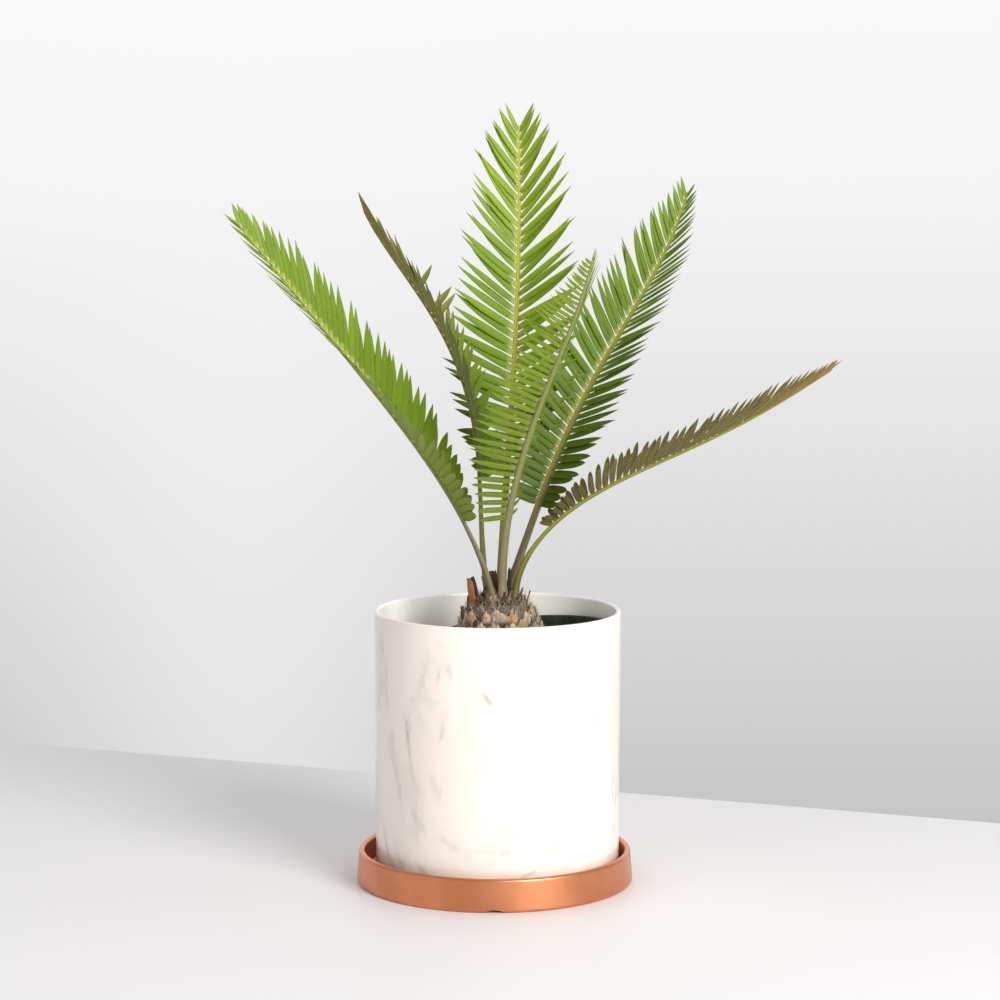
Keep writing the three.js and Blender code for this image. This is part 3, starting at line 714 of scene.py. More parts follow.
def stem_core():
    """The stem under the leaf bases, dark in the gaps, with the tap root below it."""
    surface = Surface()
    around, points, tints = 72, [], []
    heights = np.linspace(ROOT_Z, CROWN_Z - 3, 70)
    for z in heights:
        for j in range(around):
            angle = 2 * math.pi * j / around
            radius = caudex_radius(z) - 2.2 * ease(SOIL_Z - 10, SOIL_Z, z)
            point = np.array([math.cos(angle) * radius, math.sin(angle) * radius, z])
            radius += 0.8 * wobble(point, 4, 5.5) + 0.5 * wobble(point, 1.7, 2.2)
            points.append([CAUDEX_X + math.cos(angle) * radius, math.sin(angle) * radius, z])
            grey = blend(UMBER, ASH * 0.75, ease(158, 168, z))
            tints.append(blend(grey * 0.6, grey, 0.5 + 0.5 * wobble(point, 6, 9.1)))
    points.append([CAUDEX_X, 0, ROOT_Z - 1])
    tints.append(UMBER)
    points.append([CAUDEX_X, 0, CROWN_Z - 1.5])
    tints.append(ASH * 0.6)
    faces = ring_faces(len(heights), around)
    last = (len(heights) - 1) * around
    for j in range(around):
        k = (j + 1) % around
        faces.append((k, j, len(points) - 2))
        faces.append((last + j, last + k, len(points) - 1))
    surface.add(points, faces, np.array(tints), (0.3, 0.3, 0.3))
    keep(surface.piece("caudex_core", [FINISH["scale"]]), "caudex", "caudex")


def shield_faces(rows, columns):
    """Quads of the front, of the back whose points come after the front's, and of the edge round both."""
    count = rows * columns
    faces = []
    for i in range(rows - 1):
        for j in range(columns - 1):
            a = i * columns + j
            b, c, d = a + 1, a + columns + 1, a + columns
            faces.append((a, b, c, d))
            faces.append((count + d, count + c, count + b, count + a))
    border = list(range(columns))
    border += [i * columns + columns - 1 for i in range(1, rows)]
    border += [(rows - 1) * columns + j for j in range(columns - 2, -1, -1)]
    border += [i * columns for i in range(rows - 2, 0, -1)]
    for a, b in zip(border, border[1:] + border[:1]):
        faces.append((b, a, count + a, count + b))
    return faces


def leaf_base(surface, wool, angle, z, width, height, stand, rng, tone):
    """One old leaf base: a shield standing off the stem, thick in its middle, its top ragged and woolly."""
    out = np.array([math.cos(angle), math.sin(angle), 0])
    across_dir = np.array([-math.sin(angle), math.cos(angle), 0])
    rows, columns = 11, 11
    ragged = [rng.uniform(0.6, 1.1) for _ in range(columns)]
    frayed = [rng.uniform(0.2, 1.0) for _ in range(columns)]
    front, back, paint_front, paint_back, place = [], [], [], [], []
    tilt = math.radians(rng.uniform(-16, 16))
    fullness = rng.uniform(0.3, 1.9)
    for i in range(rows):
        up = i / (rows - 1)
        uneven = 1 + 0.14 * wobble((angle * 9, z + up * 9, 0), 2.2, 7)
        half = width / 2 * (0.78 + 0.42 * up - 0.5 * up**3) * uneven
        for j in range(columns):
            v = 2 * j / (columns - 1) - 1
            rise = height * up * blend(1.0, ragged[j], up) * (1 - 0.32 * v * v * up)
            x = half * v
            shifted = x * math.cos(tilt) - rise * math.sin(tilt)
            rise = x * math.sin(tilt) + rise * math.cos(tilt)
            here = z + rise
            swing = shifted / max(6.0, caudex_radius(min(here, CROWN_Z)))
            direction = out * math.cos(swing) + across_dir * math.sin(swing)
            bulge = fullness * math.sin(math.pi * min(1, up * 0.8 + 0.12)) * (1 - v * v) ** 0.6
            lean = stand * up**1.4
            skin = caudex_radius(min(here, CROWN_Z)) - 1.2 + bulge + lean - 0.9 * abs(v) ** 3 * up
            skin += 0.5 * wobble((angle * 20, here, v * 4), 2.6, 4.4)
            skin += 0.35 * wobble((v * 5, here, angle * 9), 0.9, 8.1)
            thick = blend(1.7, 0.5, up) * (1 - 0.6 * v * v)
            base = np.array([CAUDEX_X, 0, here])
            front.append(base + direction * skin)
            back.append(base + direction * (skin - thick))
            rim = max(ease(0.72, 0.95, up), ease(0.7, 1.0, abs(v)))
            shadow = 1 - 0.8 * (1 - ease(0.0, 0.4, up)) - 0.35 * ease(0.75, 1.0, abs(v)) * (1 - up)
            streak = 1 + 0.3 * wobble((v * 9, up * 2, angle * 7), 1.6, 2.8)
            face = blend(tone, CREAM, 0.9 * rim * frayed[j]) * max(0.12, shadow) * streak
            paint_front.append(face * rng.uniform(0.84, 1.12))
            paint_back.append(UMBER * 0.8)
            place.append((v, up * 3, angle))
    paint = np.array(paint_front + paint_back)
    surface.add(front + back, shield_faces(rows, columns), paint, np.array(place + place))
    for _ in range(12):
        j = rng.randrange(0, columns)
        start = front[rng.randrange(rows // 2, rows) * columns + j]
        aim = unit(UP + out * rng.uniform(-0.1, 0.7) + across_dir * rng.uniform(-0.7, 0.7))
        length, tint = rng.uniform(1.4, 3.6), blend(CREAM, TAN, rng.random())
        fibre(wool, start - aim * 0.6, aim, length, 0.15, rng, tint)


def fibre(surface, start, aim, length, radius, rng, tint):
    """A stiff hair or a shred of old stalk, tapering to its tip."""
    side = unit(np.cross(aim, UP + np.array([0.31, 0.17, 0])))
    bend = turn(side, aim, rng.uniform(0, 360)) * rng.uniform(0.05, 0.35)
    corners = [turn(side, aim, degrees) for degrees in (0, 120, 240)]
    rings = []
    for i in range(5):
        share = i / 4
        middle = start + (aim + bend * share) * length * share
        girth = radius * (1 - 0.85 * share)
        rings.append([middle + corner * girth for corner in corners])
    tube(surface, rings, tint, (0.5, 0.5, rng.random()))


def leaf_bases(scales, wool, rng):
    """Rows of leaf bases from the soil to the crown, each row set half a base round from the last."""
    rows, row_step, room = 8, 4.2, 10.5
    for row in range(rows):
        z = SOIL_Z - 3 + row * row_step
        count = round(2 * math.pi * caudex_radius(z) / room)
        for i in range(count):
            angle = 2 * math.pi * (i + 0.5 * (row % 2)) / count + rng.uniform(-0.12, 0.12) + row * 0.13
            tone = rng.choice(BASE_TONES) * rng.uniform(0.85, 1.15)
            width, height = rng.uniform(7, 14), rng.uniform(6, 10)
            foot = z + rng.uniform(-1.8, 1.8)
            leaf_base(scales, wool, angle, foot, width, height, rng.uniform(0.4, 3.0), rng, tone)


def stem_hairs(wool, rng):
    """Wool all over the stem, then longer and stiffer hairs between the stalks on the crown."""
    for _ in range(STEM_HAIRS):
        angle, z = rng.uniform(0, 2 * math.pi), rng.uniform(SOIL_Z, CROWN_Z)
        out = np.array([math.cos(angle), math.sin(angle), 0])
        start = np.array([CAUDEX_X, 0, z]) + out * (caudex_radius(z) - rng.uniform(0, 1.2))
        lift = UP * rng.uniform(0.3, 1.2)
        aim = unit(out * rng.uniform(0.1, 0.7) + lift + np.cross(UP, out) * rng.uniform(-0.7, 0.7))
        tint = blend(CREAM, UMBER, rng.random() ** 1.5)
        fibre(wool, start, aim, rng.uniform(1.5, 5.0), rng.uniform(0.1, 0.24), rng, tint)
    for _ in range(CROWN_HAIRS):
        angle, radius = rng.uniform(0, 2 * math.pi), CROWN_RADIUS * math.sqrt(rng.random())
        start = np.array([CAUDEX_X + radius * math.cos(angle), radius * math.sin(angle), CROWN_Z - 5])
        aim = unit(UP + np.array([rng.uniform(-0.4, 0.4), rng.uniform(-0.4, 0.4), 0]))
        tint = rng.choice(CROWN_TONES)
        length = rng.uniform(5, 13) * blend(1, 0.75, radius / CROWN_RADIUS)
        fibre(wool, start, aim, length, rng.uniform(0.2, 0.5), rng, tint)


def caudex():
    stem_core()
    rng = random.Random(7)
    scales, wool = Surface(), Surface()
    leaf_bases(scales, wool, rng)
    stem_hairs(wool, rng)
    keep(scales.piece("leaf_bases", [FINISH["scale"]]), "caudex")
    keep(wool.piece("stem_fibres", [FINISH["wool"]]), "caudex")


# ---- dry stubs on the crown ----------------------------------------------------------------------
# Foot, top, width, thickness, bend of the top and raggedness, in mm, and the tints of face and inside.
STUBS = [
    ((-11.6, -6.5, 158), (-15.4, -6, 187.5), 4.8, 1.8, (0.3, 0, 0), 2.8, ORANGE * 0.72, SOOT),
    ((-8.6, -6.5, 160), (-11.6, -7, 188.5), 2.6, 1.6, (-1.6, 0, 0), 3.6, UMBER * 0.5, SOOT),
    ((-8.2, -6.8, 172), (-6.6, -7.4, 183), 1.1, 0.9, (1.6, 0, -1), 1.2, SOOT, SOOT),
    ((1.6, 0.5, 163), (-0.2, 0, 191), 4.8, 2.2, (-1.2, 0, 0), 2.4, UMBER * 1.5, SOOT),
    ((8.5, -1.5, 165), (8.2, -2, 193), 2.2, 1.6, (0.9, 0, 0), 2.4, SOOT, SOOT),
    ((17.5, -6, 160), (15.8, -7, 177.5), 1.1, 1.0, (-1.4, 0, -1), 1.0, UMBER * 1.3, SOOT),
    ((22, -7, 156), (16.2, -7.5, 178), 1.1, 0.9, (0, 0, 0), 0.6, ASH, UMBER),
    ((22.4, -8, 154), (20.6, -9, 169), 2.6, 1.4, (0.3, 0, 0), 2.2, TAN, UMBER),
    ((27, -8, 146), (29, -9, 162), 2.4, 1.4, (-0.6, 0, 0), 2.2, TAN, UMBER),
    ((-18.6, -8, 150), (-19.6, -9, 171), 2.4, 1.6, (0, 0, 0), 1.6, UMBER * 0.9, SOOT),
    ((-15.6, -9, 155), (-16.6, -10, 177), 1.4, 1.2, (0.5, 0, 0), 1.8, UMBER, SOOT),
    ((-3, 10, 160), (-6, 14, 186), 3.6, 2.0, (-0.8, 0.5, 0), 2.0, ORANGE * 0.8, SOOT),
    ((9, 9, 160), (12, 13, 184), 3.0, 1.8, (0.6, 0.5, 0), 1.8, UMBER * 1.2, SOOT),
    ((16, 4, 158), (21, 6, 178), 2.6, 1.6, (0.5, 0, 0), 1.6, UMBER, SOOT),
]


def dry_stub(surface, foot, top, width, thickness, curl, ragged, face, inside, rng):
    """A dead stalk, split open along its inner side, with a torn top."""
    foot, top, curl = np.array(foot, float), np.array(top, float), np.array(curl, float)
    along = unit(top - foot)
    out = unit(np.array([0.3 * (foot[0] - CAUDEX_X), foot[1] - 4.0, 0]))
    deep = unit(out - along * (out @ along))
    side = np.cross(along, deep)
    length, rows, around = np.linalg.norm(top - foot), 14, 14
    torn = [rng.uniform(0, ragged) for _ in range(around)]
    points, tints, places = [], [], []
    for i in range(rows):
        share = i / (rows - 1)
        for j in range(around):
            angle = 2 * math.pi * j / around
            girth = blend(1.15, 0.86, share)
            hollow = 0.75 * ease(0.1, 0.6, share) * max(0, -math.sin(angle)) ** 2
            x = width / 2 * girth * math.cos(angle)
            y = thickness / 2 * girth * math.sin(angle) + hollow * thickness
            reach = length * share - torn[j] * share**4
            point = foot + along * reach + side * x + deep * y + curl * share**3
            point = point + 0.16 * np.array([wobble(point, 1.8, seed) for seed in (1, 2, 3)])
            points.append(point)
            inner = max(0, -math.sin(angle)) * ease(0.2, 0.7, share)
            tints.append(blend(face, inside, 0.9 * inner) * blend(0.75, 1.1, share) * rng.uniform(0.85, 1.1))
            places.append((angle, share * 4, foot[0]))
    points.append(foot + along * (length - ragged * 1.2) + curl * 0.8)
    tints.append(inside)
    places.append((0, 4, 0))
    faces = ring_faces(rows, around)
    last = (rows - 1) * around
    faces += [(last + j, last + (j + 1) % around, len(points) - 1) for j in range(around)]
    faces.append(tuple(reversed(range(around))))
    surface.add(points, faces, np.array(tints), np.array(places))


def old_stubs():
    rng = random.Random(23)
    surface = Surface()
    for stub in STUBS:
        dry_stub(surface, *stub, rng)
    for _ in range(COLLAR_STUBS):
        angle, radius = rng.uniform(0, 2 * math.pi), rng.uniform(6, CROWN_RADIUS + 1)
        out = np.array([math.cos(angle), math.sin(angle), 0])
        foot = np.array([CAUDEX_X, 0, CROWN_Z - 8]) + out * radius
        top = foot + UP * rng.uniform(9, 15) + out * rng.uniform(-1, 2.5)
        face = rng.choice(COLLAR_TONES) * rng.uniform(0.8, 1.1)
        curl = out * rng.uniform(-1, 1.2)
        width, thickness, ragged = rng.uniform(1.4, 4), rng.uniform(0.7, 1.2), rng.uniform(2, 5)
        dry_stub(surface, foot, top, width, thickness, curl, ragged, face, UMBER * 0.7, rng)
    keep(surface.piece("old_stubs", [FINISH["stub"]]), "caudex")


# ---- fronds --------------------------------------------------------------------------------------
# Each rachis runs as in the solid model: foot on the crown, length, heading at foot and tip, lean at four
# even steps, roll and the leaflets' rise at foot and tip, half width of the stalk and the share that is bare.
# Then the leaflets: spacing is the room between two of a row, curl (degrees) bends them to the frond's tip,
# width is a share of that room, reach a share of the full length, and tip the share of it left at the tip.
# Below the share blunt they are rounded. Sharp scales the angle that the right and the left row make with the
# rachis, cling (degrees) draws neighbours together, right shortens the right row towards the tip, and strays
# says where a leaflet of that row stands out of line. Last come the tints of upper side, underside and stalk,
# each at places along the frond.
# The tints are each frond's own colour with painted shade that darkens the leaflets towards the frond's foot;
# frond_right's tints are darker throughout, painted shade.
FRONDS = [
    dict(
        name="frond_left", foot=(0, -3.5), length=288, heading=(206, 206), lean=(10.5, 35.5, 40.5, 41),
        roll=(-10, -56), rise=(29, 8), stalk=2.4, bare=0.2, spacing=5.0, seed=11, curl=5, width=1.2,
        reach=1.0, tip=0.32, blunt=0.26, sharp=(1.0, 0.82), cling=1.6, right=1.0, strays=(),
        upper=[(0, (104, 126, 26)), (0.5, (110, 140, 18)), (1, (126, 154, 40))],
        under=[(0, (130, 150, 52)), (1, (144, 162, 66))],
        rachis=[(0, (120, 104, 72)), (0.12, (128, 118, 90)), (0.3, (120, 128, 66)), (0.45, (134, 138, 40)),
                (0.7, (146, 154, 38)), (1, (152, 164, 48))],
    ),
    dict(
        name="frond_back_left", foot=(-2.5, 5.5), length=258, heading=(140, 175), lean=(18.5, 5, 30, 26.5),
        roll=(22, 8), rise=(16, 16), stalk=2.2, bare=0.3, spacing=5.0, seed=12, curl=4, width=1.05,
        reach=0.92, tip=0.42, blunt=0.1, sharp=(0.92, 0.86), cling=1.5, right=1.0, strays=(0.56, 0.61, 0.67),
        upper=[(0, (92, 122, 20)), (0.3, (110, 134, 28)), (0.5, (120, 126, 54)), (1, (128, 114, 48))],
        under=[(0, (100, 124, 34)), (0.35, (116, 130, 46)), (0.55, (130, 130, 66)), (1, (132, 118, 58))],
        rachis=[(0, (110, 92, 40)), (0.2, (126, 128, 44)), (0.5, (126, 114, 34)), (1, (132, 104, 34))],
    ),
    dict(
        name="frond_centre", foot=(2.5, 9.5), length=302, heading=(78, 82), lean=(14, 21, 13.5, -15.5),
        roll=(6, 6), rise=(16, 13), stalk=2.4, bare=0.27, spacing=5.4, seed=13, curl=6, width=1.06,
        reach=1.16, tip=0.42, blunt=0.2, sharp=(1.0, 1.0), cling=2.8, right=1.0, strays=(),
        upper=[(0, (94, 124, 18)), (0.35, (110, 142, 22)), (0.7, (128, 158, 32)), (1, (142, 168, 50))],
        under=[(0, (112, 132, 50)), (1, (136, 156, 68))],
        rachis=[(0, (112, 92, 36)), (0.25, (116, 116, 36)), (0.5, (132, 126, 30)), (0.65, (148, 152, 38)),
                (1, (172, 182, 54))],
    ),
    dict(
        name="frond_front", foot=(5.5, -7.5), length=275, heading=(-48, -84), lean=(-7, 27.5, 48.5, 56.5),
        roll=(8, 44), rise=(24, 23), stalk=2.9, bare=0.2, spacing=4.7, seed=14, curl=4, width=0.84,
        reach=1.0, tip=0.22, blunt=0.2, sharp=(1.0, 1.0), cling=1.4, right=1.0, strays=(),
        upper=[(0, (106, 130, 26)), (1, (138, 166, 42))],
        under=[(0, (114, 134, 44)), (0.5, (136, 160, 50)), (1, (144, 166, 56))],
        rachis=[(0, (150, 124, 90)), (0.08, (132, 122, 86)), (0.3, (140, 140, 84)), (0.6, (146, 152, 76)),
                (1, (154, 166, 64))],
    ),
    # Darker tints than the other fronds: painted shade.
    dict(
        name="frond_right", foot=(4, 3.5), length=298, heading=(34, 50), lean=(27, 29.5, 41.5, 23),
        roll=(37, 21), rise=(37, 21), stalk=2.5, bare=0.22, spacing=4.8, seed=15, curl=5, width=1.16,
        reach=1.0, tip=0.32, blunt=0.28, sharp=(1.0, 0.98), cling=1.6, right=0.75, strays=(),
        upper=[(0, (76, 98, 16)), (0.35, (90, 118, 24)), (0.7, (110, 138, 34)), (1, (120, 148, 48))],
        under=[(0, (76, 92, 30)), (1, (104, 124, 52))],
        rachis=[(0, (96, 78, 60)), (0.15, (108, 98, 66)), (0.35, (112, 110, 34)), (0.6, (124, 128, 32)),
                (1, (136, 144, 44))],
    ),
    dict(
        name="frond_low_right", foot=(12.5, -2.5), length=250, heading=(-6, 9), lean=(-5, 57.5, 65, 58),
        roll=(-3, -3), rise=(24, 20), stalk=2.5, bare=0.22, spacing=4.4, seed=16, curl=6, width=0.84,
        reach=0.86, tip=0.34, blunt=0.95, sharp=(1.04, 1.04), cling=0.7, right=1.0, strays=(),
        upper=[(0, (100, 94, 44)), (0.6, (112, 104, 54)), (1, (150, 120, 62))],
        under=[(0, (104, 92, 50)), (0.6, (118, 108, 62)), (1, (152, 122, 66))],
        rachis=[(0, (92, 80, 24)), (0.15, (128, 132, 30)), (0.5, (132, 132, 32)), (0.8, (134, 122, 38)),
                (1, (150, 110, 48))],
    ),
]
FOOT_Z = CROWN_Z - 6
TIP_RADIUS = 0.7
PATH_STEPS = 300
LEAFLET_LENGTH = 39.0
STRAY_RISE, STRAY_TURN, STRAY_LENGTH = 50, 25, 0.58


def through(values, share):
    """The smooth curve through four values at even steps."""
    x = 3 * share
    weights = (
        (1 - x) * (2 - x) * (3 - x) / 6,
        x * (2 - x) * (3 - x) / 2,
        x * (x - 1) * (3 - x) / 2,
        x * (x - 1) * (x - 2) / 6,
    )
    return sum(value * weight for value, weight in zip(values, weights))


def rachis_frame(frond, share):
    """Which way the rachis runs, and where its left and upper sides face, at a share of its length."""
    lean = math.radians(through(frond["lean"], share))
    heading = math.radians(blend(*frond["heading"], share))
    roll = math.radians(blend(*frond["roll"], share))
    along = np.array([math.sin(lean) * math.cos(heading), math.sin(lean) * math.sin(heading), math.cos(lean)])
    level = np.array([-math.sin(heading), math.cos(heading), 0.0])
    face = np.cross(along, level)
    side = level * math.cos(roll) + face * math.sin(roll)
    up = face * math.cos(roll) - level * math.sin(roll)
    return along, side, up


def rachis_path(frond):
    """Points along the middle of the rachis, from its foot to its tip."""
    place = np.array([*frond["foot"], FOOT_Z], float)
    places = [place]
    for i in range(PATH_STEPS):
        along, _, _ = rachis_frame(frond, (i + 0.5) / PATH_STEPS)
        place = place + along * frond["length"] / PATH_STEPS
        places.append(place)
    return np.array(places)


def rachis_radius(frond, share):
    swollen = 1 + 0.45 * (1 - ease(0.0, 0.07, share))
    return (TIP_RADIUS + (frond["stalk"] - TIP_RADIUS) * (1 - share) ** 0.8) * swollen


def stalk_tube(surface, frond, path):
    """The stalk and rachis: round below, flatter above with a groove, swollen and woolly at its foot."""
    around, count = 20, 110
    points, tints, places = [], [], []
    for i in range(count + 1):
        share = i / count
        along, side, up = rachis_frame(frond, share)
        centre = path[round(share * PATH_STEPS)]
        radius = rachis_radius(frond, share)
        grooved = ease(frond["bare"] * 0.4, frond["bare"], share)
        tint = shade(*steps(frond["rachis"], share))
        foot = 1 - ease(0.0, 0.05, share)
        for j in range(around):
            angle = 2 * math.pi * j / around
            high = math.sin(angle)
            depth = 0.82 * radius * (high if high < 0 else high * (1 - 0.35 * grooved))
            if grooved and high > 0.75:
                depth -= 0.3 * radius * grooved * (high - 0.75) / 0.25
            width = radius * math.cos(angle)
            rough = 1 + 0.05 * wobble((angle * 3, share * 60, 0), 1.0, frond["seed"])
            points.append(centre + (side * width + up * depth) * rough)
            speck = 0.09 * wobble((angle * 2.2, share * 130, 4), 1.0, frond["seed"])
            warm = blend(tint, blend(CREAM, TAN, 0.6), 0.65 * foot)
            # The 0.12 * high term paints the upper side lighter and the underside darker: painted light and
            # shade.
            tints.append(warm * (1 + speck + 0.12 * high))
            places.append((angle, share * 30, frond["seed"]))
    end = path[-1] + rachis_frame(frond, 1)[0] * 3 * TIP_RADIUS
    points.append(end)
    tints.append(tints[-1])
    places.append(places[-1])
    faces = ring_faces(count + 1, around)
    last = count * around
    faces += [(last + j, last + (j + 1) % around, len(points) - 1) for j in range(around)]
    faces.append(tuple(reversed(range(around))))
    surface.add(points, faces, np.array(tints), np.array(places), 2)


def leaflet_length(blade, tip):
    """The length of the leaflet at the share blade of its row, shorter near both ends."""
    return LEAFLET_LENGTH * min(1, 0.42 + 2.6 * blade) * min(1, tip + 2.2 * (1 - blade) ** 0.9)


def leaflet_angle(frond, blade, hand):
    """The angle between leaflet and rachis, in degrees."""
    return (98 - 69 * blade**0.75) * frond["sharp"][hand > 0]


def bunched(count, cling, rng):
    """How far each leaflet of a row leans to its neighbours, in degrees: they cling in twos and threes."""
    leans = []
    while len(leans) < count:
        size = rng.choice((1, 2, 2, 3))
        pull = cling * rng.uniform(0.7, 1.3)
        leans += [pull * (2 * k - size + 1) for k in range(size)]
    return leans[:count]


def leaflet_outline(t, blunt):
    """Half width as a share of the widest, from the leaflet's base to its point."""
    base = blend(0.74, 1.0, ease(0, 0.2, t))
    taper = max(0.0, 1 - max(0.0, (t - 0.48) / 0.52) ** blend(1.6, 2.8, blunt))
    return base * max(0.03, taper ** blend(0.95, 0.6, blunt))


def leaflet_faces(count, columns, hand):
    """The faces of a leaflet, whose upper points come first, with the finish and the smoothness of each."""
    total = count * columns
    faces, finishes, smooth = [], [], []
    for i in range(count - 1):
        for j in range(columns - 1):
            a = i * columns + j
            quad = (a, a + 1, a + columns + 1, a + columns)
            low = tuple(total + k for k in quad)
            faces += [quad[::-1], low] if hand > 0 else [quad, low[::-1]]
            finishes += [0, 1]
            smooth += [True, True]
        for j, flip in ((0, hand < 0), (columns - 1, hand > 0)):
            a, b = i * columns + j, (i + 1) * columns + j
            wall = (a, b, total + b, total + a)
            faces.append(wall[::-1] if flip else wall)
            finishes.append(0)
            smooth.append(False)
    for i, flip in ((0, hand > 0), (count - 1, hand < 0)):
        a = i * columns
        top_edge = [a + j for j in range(columns)]
        wall = tuple(top_edge + [total + k for k in reversed(top_edge)])
        faces.append(wall if flip else wall[::-1])
        finishes.append(0)
        smooth.append(False)
    return faces, finishes, smooth


def leaflet(surface, frond, path, share, blade, hand, lean, stray, rng):
    """One leaflet: a thin curved shell with a channel, a broad seat on the rachis and a sharp point."""
    along, side, up = rachis_frame(frond, share)
    index = share * PATH_STEPS
    place = blend(path[int(index)], path[min(PATH_STEPS, int(index) + 1)], index % 1)
    radius = rachis_radius(frond, share)
    root = place + side * hand * radius * 0.75 + up * (radius * 0.3 + rng.uniform(-0.25, 0.25))
    rise = math.radians(blend(*frond["rise"], blade) + rng.uniform(-2.5, 2.5) + stray * STRAY_RISE)
    usual_angle = leaflet_angle(frond, blade, hand)
    angle = math.radians(usual_angle + lean + rng.uniform(-1.5, 1.5) + stray * STRAY_TURN)
    out = side * hand * math.cos(rise) + up * math.sin(rise)
    heading = unit(along * math.cos(angle) + out * math.sin(angle))
    across = unit(along - heading * math.cos(angle))
    normal = np.cross(across, heading) * hand
    length = frond["reach"] * leaflet_length(blade, frond["tip"]) * rng.uniform(0.96, 1.03)
    if stray:
        length *= STRAY_LENGTH
    if hand < 0:
        length *= blend(1.0, frond["right"], ease(0.1, 0.8, blade))
    room = frond["spacing"] * math.sin(math.radians(usual_angle))
    half_width = 0.5 * frond["width"] * room * rng.uniform(0.94, 1.08)
    blunt = 1 - ease(0.0, frond["blunt"], blade)
    pitch = rng.uniform(7, 12) + 6 * blade
    across, normal = turn(across, heading, hand * pitch), turn(normal, heading, hand * pitch)
    count, columns, thick = 11, 5, 0.34
    bend = hand * -(frond["curl"] + rng.uniform(-3, 3)) * ease(0, 0.25, blade) / (count - 1)
    droop = rng.uniform(1, 5) / (count - 1)
    twist = rng.uniform(-5, 5) / (count - 1)
    upper_tint = shade(*steps(frond["upper"], blade)) * rng.uniform(0.88, 1.1)
    under_tint = shade(*steps(frond["under"], blade)) * rng.uniform(0.92, 1.08)
    seat_tint = blend(shade(*steps(frond["rachis"], share)), CALLUS, 0.55)
    chance = rng.random()
    spine = root.copy()
    tops, unders, paint_top, paint_under, places = [], [], [], [], []
    for i in range(count):
        t = i / (count - 1)
        half = half_width * leaflet_outline(t, blunt)
        for j in range(columns):
            v = 2 * j / (columns - 1) - 1
            channel = 0.16 * half * (abs(v) ** 1.5) * (1 - 0.6 * t)
            middle = spine + across * half * v + normal * channel
            skin = thick / 2 * (1 - 0.55 * abs(v)) * (1 - 0.7 * t)
            tops.append(middle + normal * skin)
            unders.append(middle - normal * skin)
            seat = 1 - ease(0.0, 0.05, t)
            tip = ease(0.93, 1.0, t) * 0.5
            paint_top.append(blend(blend(upper_tint * blend(0.92, 1.05, t), seat_tint, seat), ORANGE, tip))
            paint_under.append(blend(blend(under_tint, seat_tint, seat), ORANGE, tip))
            places.append((v, t, chance))
        heading, across = turn(heading, normal, bend), turn(across, normal, bend)
        heading, normal = turn(heading, across * hand, droop), turn(normal, across * hand, droop)
        across, normal = turn(across, heading, twist), turn(normal, heading, twist)
        spine = spine + heading * length / (count - 1)
    faces, finishes, smooth = leaflet_faces(count, columns, hand)
    tints = np.array(paint_top + paint_under)
    surface.add(tops + unders, faces, tints, np.array(places + places), finishes, smooth)


def frond_piece(frond):
    """One frond: its stalk and rachis, then the right row of leaflets (hand -1) and the left row (hand 1)."""
    surface = Surface()
    path = rachis_path(frond)
    stalk_tube(surface, frond, path)
    rng = random.Random(frond["seed"])
    blade_length = frond["length"] * (1 - frond["bare"])
    pairs = round(blade_length / frond["spacing"])
    for hand in (-1, 1):
        for i, lean in enumerate(bunched(pairs, frond["cling"], rng)):
            blade = min(1.0, (i + 0.5 + rng.uniform(-0.06, 0.06)) / pairs)
            share = blend(frond["bare"], 1, blade)
            stray = hand < 0 and any(abs(blade - at) < 0.5 / pairs for at in frond["strays"])
            leaflet(surface, frond, path, share, blade, hand, lean, stray, rng)
    finishes = [FINISH["upper"], FINISH["under"], FINISH["stalk"]]
    keep(surface.piece(frond["name"].replace("frond", "feather"), finishes), "frond", frond["name"])


# ---- making the plant ----------------------------------------------------------------------------
saucer()
planter()
nursery_pot()
soil()
caudex()
old_stubs()
for one in FRONDS:
    frond_piece(one)


# ---- stage, light and camera ---------------------------------------------------------------------
# In metres, like everything below.
TABLE_EDGE_LEFT = (-0.375, 0.418)
TABLE_EDGE_RIGHT = (0.327, 0.150)
TABLE_THICKNESS = 0.02
SOFTBOXES = [
    dict(name="key_softbox", place=(1.35, -1.85, 1.15), aim=(0, 0, 0.18), width=1.1, height=1.3, power=56,
         colour=(1.0, 0.985, 0.965)),
    dict(name="fill_softbox", place=(-1.9, -1.5, 1.0), aim=(0, 0, 0.22), width=1.6, height=1.6, power=4.6,
         colour=(1.0, 0.88, 0.78)),
    dict(name="top_softbox", place=(0.2, 0.4, 2.1), aim=(0, 0, 0.2), width=1.6, height=1.6, power=2.5,
         colour=(0.98, 0.99, 1.0)),
]
STUDIO_AIR = (0.98, 0.975, 1.0, 1)
STUDIO_AIR_STRENGTH = 0.5
LENS_LENGTH, SENSOR_WIDTH = 100.89, 36
CAMERA_PLACE = (0.00326, -1.68307, 0.42623)
CAMERA_TILT = 83.468


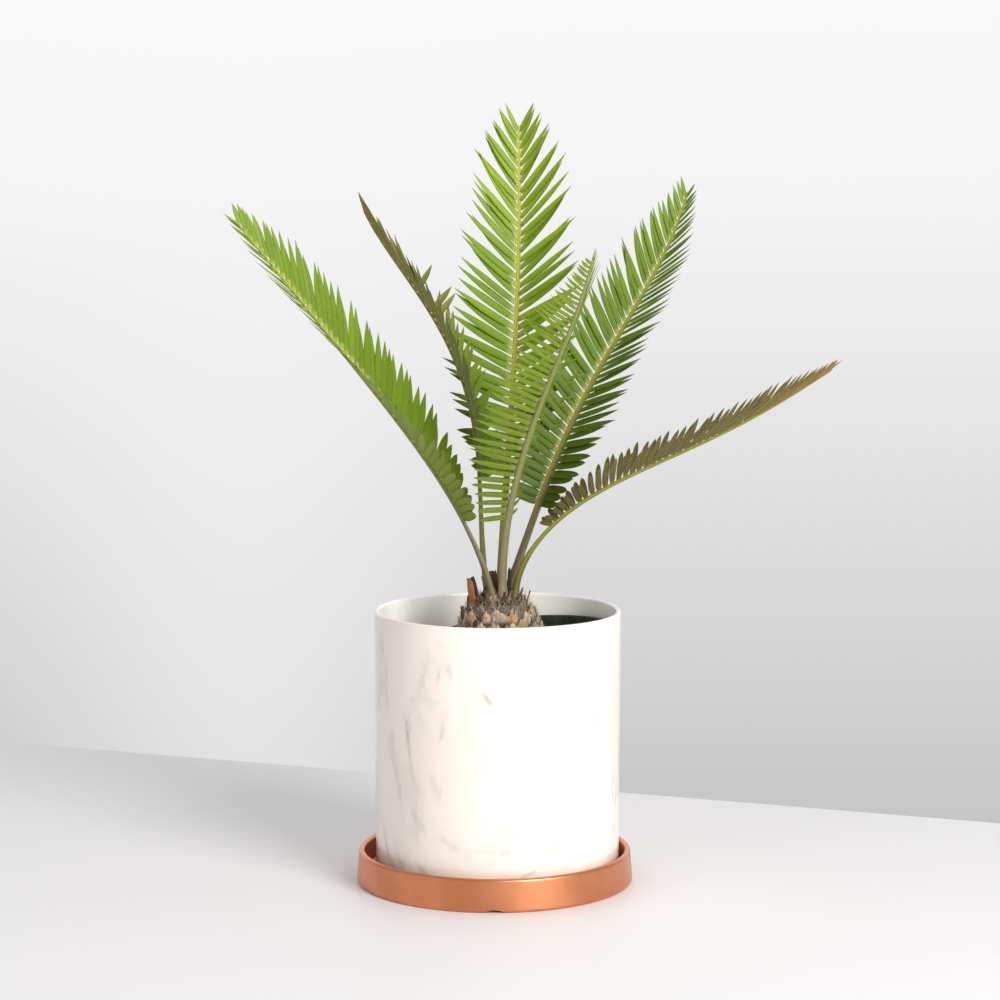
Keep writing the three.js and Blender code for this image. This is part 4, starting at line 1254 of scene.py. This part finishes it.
def stage():
    """The table, whose back edge runs at a slant, and the studio's sweep that turns up into a wall."""
    left, right = np.array(TABLE_EDGE_LEFT), np.array(TABLE_EDGE_RIGHT)
    slope = (right - left) / np.linalg.norm(right - left)
    left, right = left - slope * 4, right + slope * 4
    table = Surface()
    corners = [(*left, 0), (left[0] - 3, -6, 0), (right[0] + 3, -6, 0), (*right, 0)]
    low = [(x, y, -TABLE_THICKNESS) for x, y, _ in corners]
    table.add(np.array(corners + low) / MM, [(0, 1, 2, 3), (0, 3, 7, 4)], (1, 1, 1), smooth=False)
    table.piece("table_top", [table_finish()])
    sweep = Surface()
    front, back, side, floor, top = -1.4, 60, 60, -0.021, 40
    corners = [(-side, front, floor), (side, front, floor), (side, back, floor), (-side, back, floor)]
    corners += [(side, back, top), (-side, back, top)]
    sweep.add(np.array(corners) / MM, [(0, 1, 2, 3), (3, 2, 4, 5)], (1, 1, 1), smooth=False)
    sweep.piece("studio_sweep", [studio_finish()])


def softbox(name, place, aim, width, height, power, colour):
    lamp = bpy.data.lights.new(name, "AREA")
    lamp.shape = "RECTANGLE"
    lamp.size, lamp.size_y = width, height
    lamp.energy = power
    lamp.color = colour
    holder = bpy.data.objects.new(name, lamp)
    holder.location = place
    holder.rotation_euler = (Vector(aim) - Vector(place)).to_track_quat("-Z", "Y").to_euler()
    bpy.context.scene.collection.objects.link(holder)


def lights():
    for box in SOFTBOXES:
        softbox(**box)
    world = bpy.data.worlds.new("studio")
    world.use_nodes = True
    background = world.node_tree.nodes["Background"]
    background.inputs["Color"].default_value = STUDIO_AIR
    background.inputs["Strength"].default_value = STUDIO_AIR_STRENGTH
    bpy.context.scene.world = world


def camera():
    lens = bpy.data.cameras.new("camera")
    lens.lens, lens.sensor_width = LENS_LENGTH, SENSOR_WIDTH
    holder = bpy.data.objects.new("camera", lens)
    holder.location = CAMERA_PLACE
    holder.rotation_euler = (math.radians(CAMERA_TILT), 0, 0)
    bpy.context.scene.collection.objects.link(holder)
    bpy.context.scene.camera = holder


stage()
lights()
camera()
bpy.context.scene.view_settings.view_transform = "Standard"
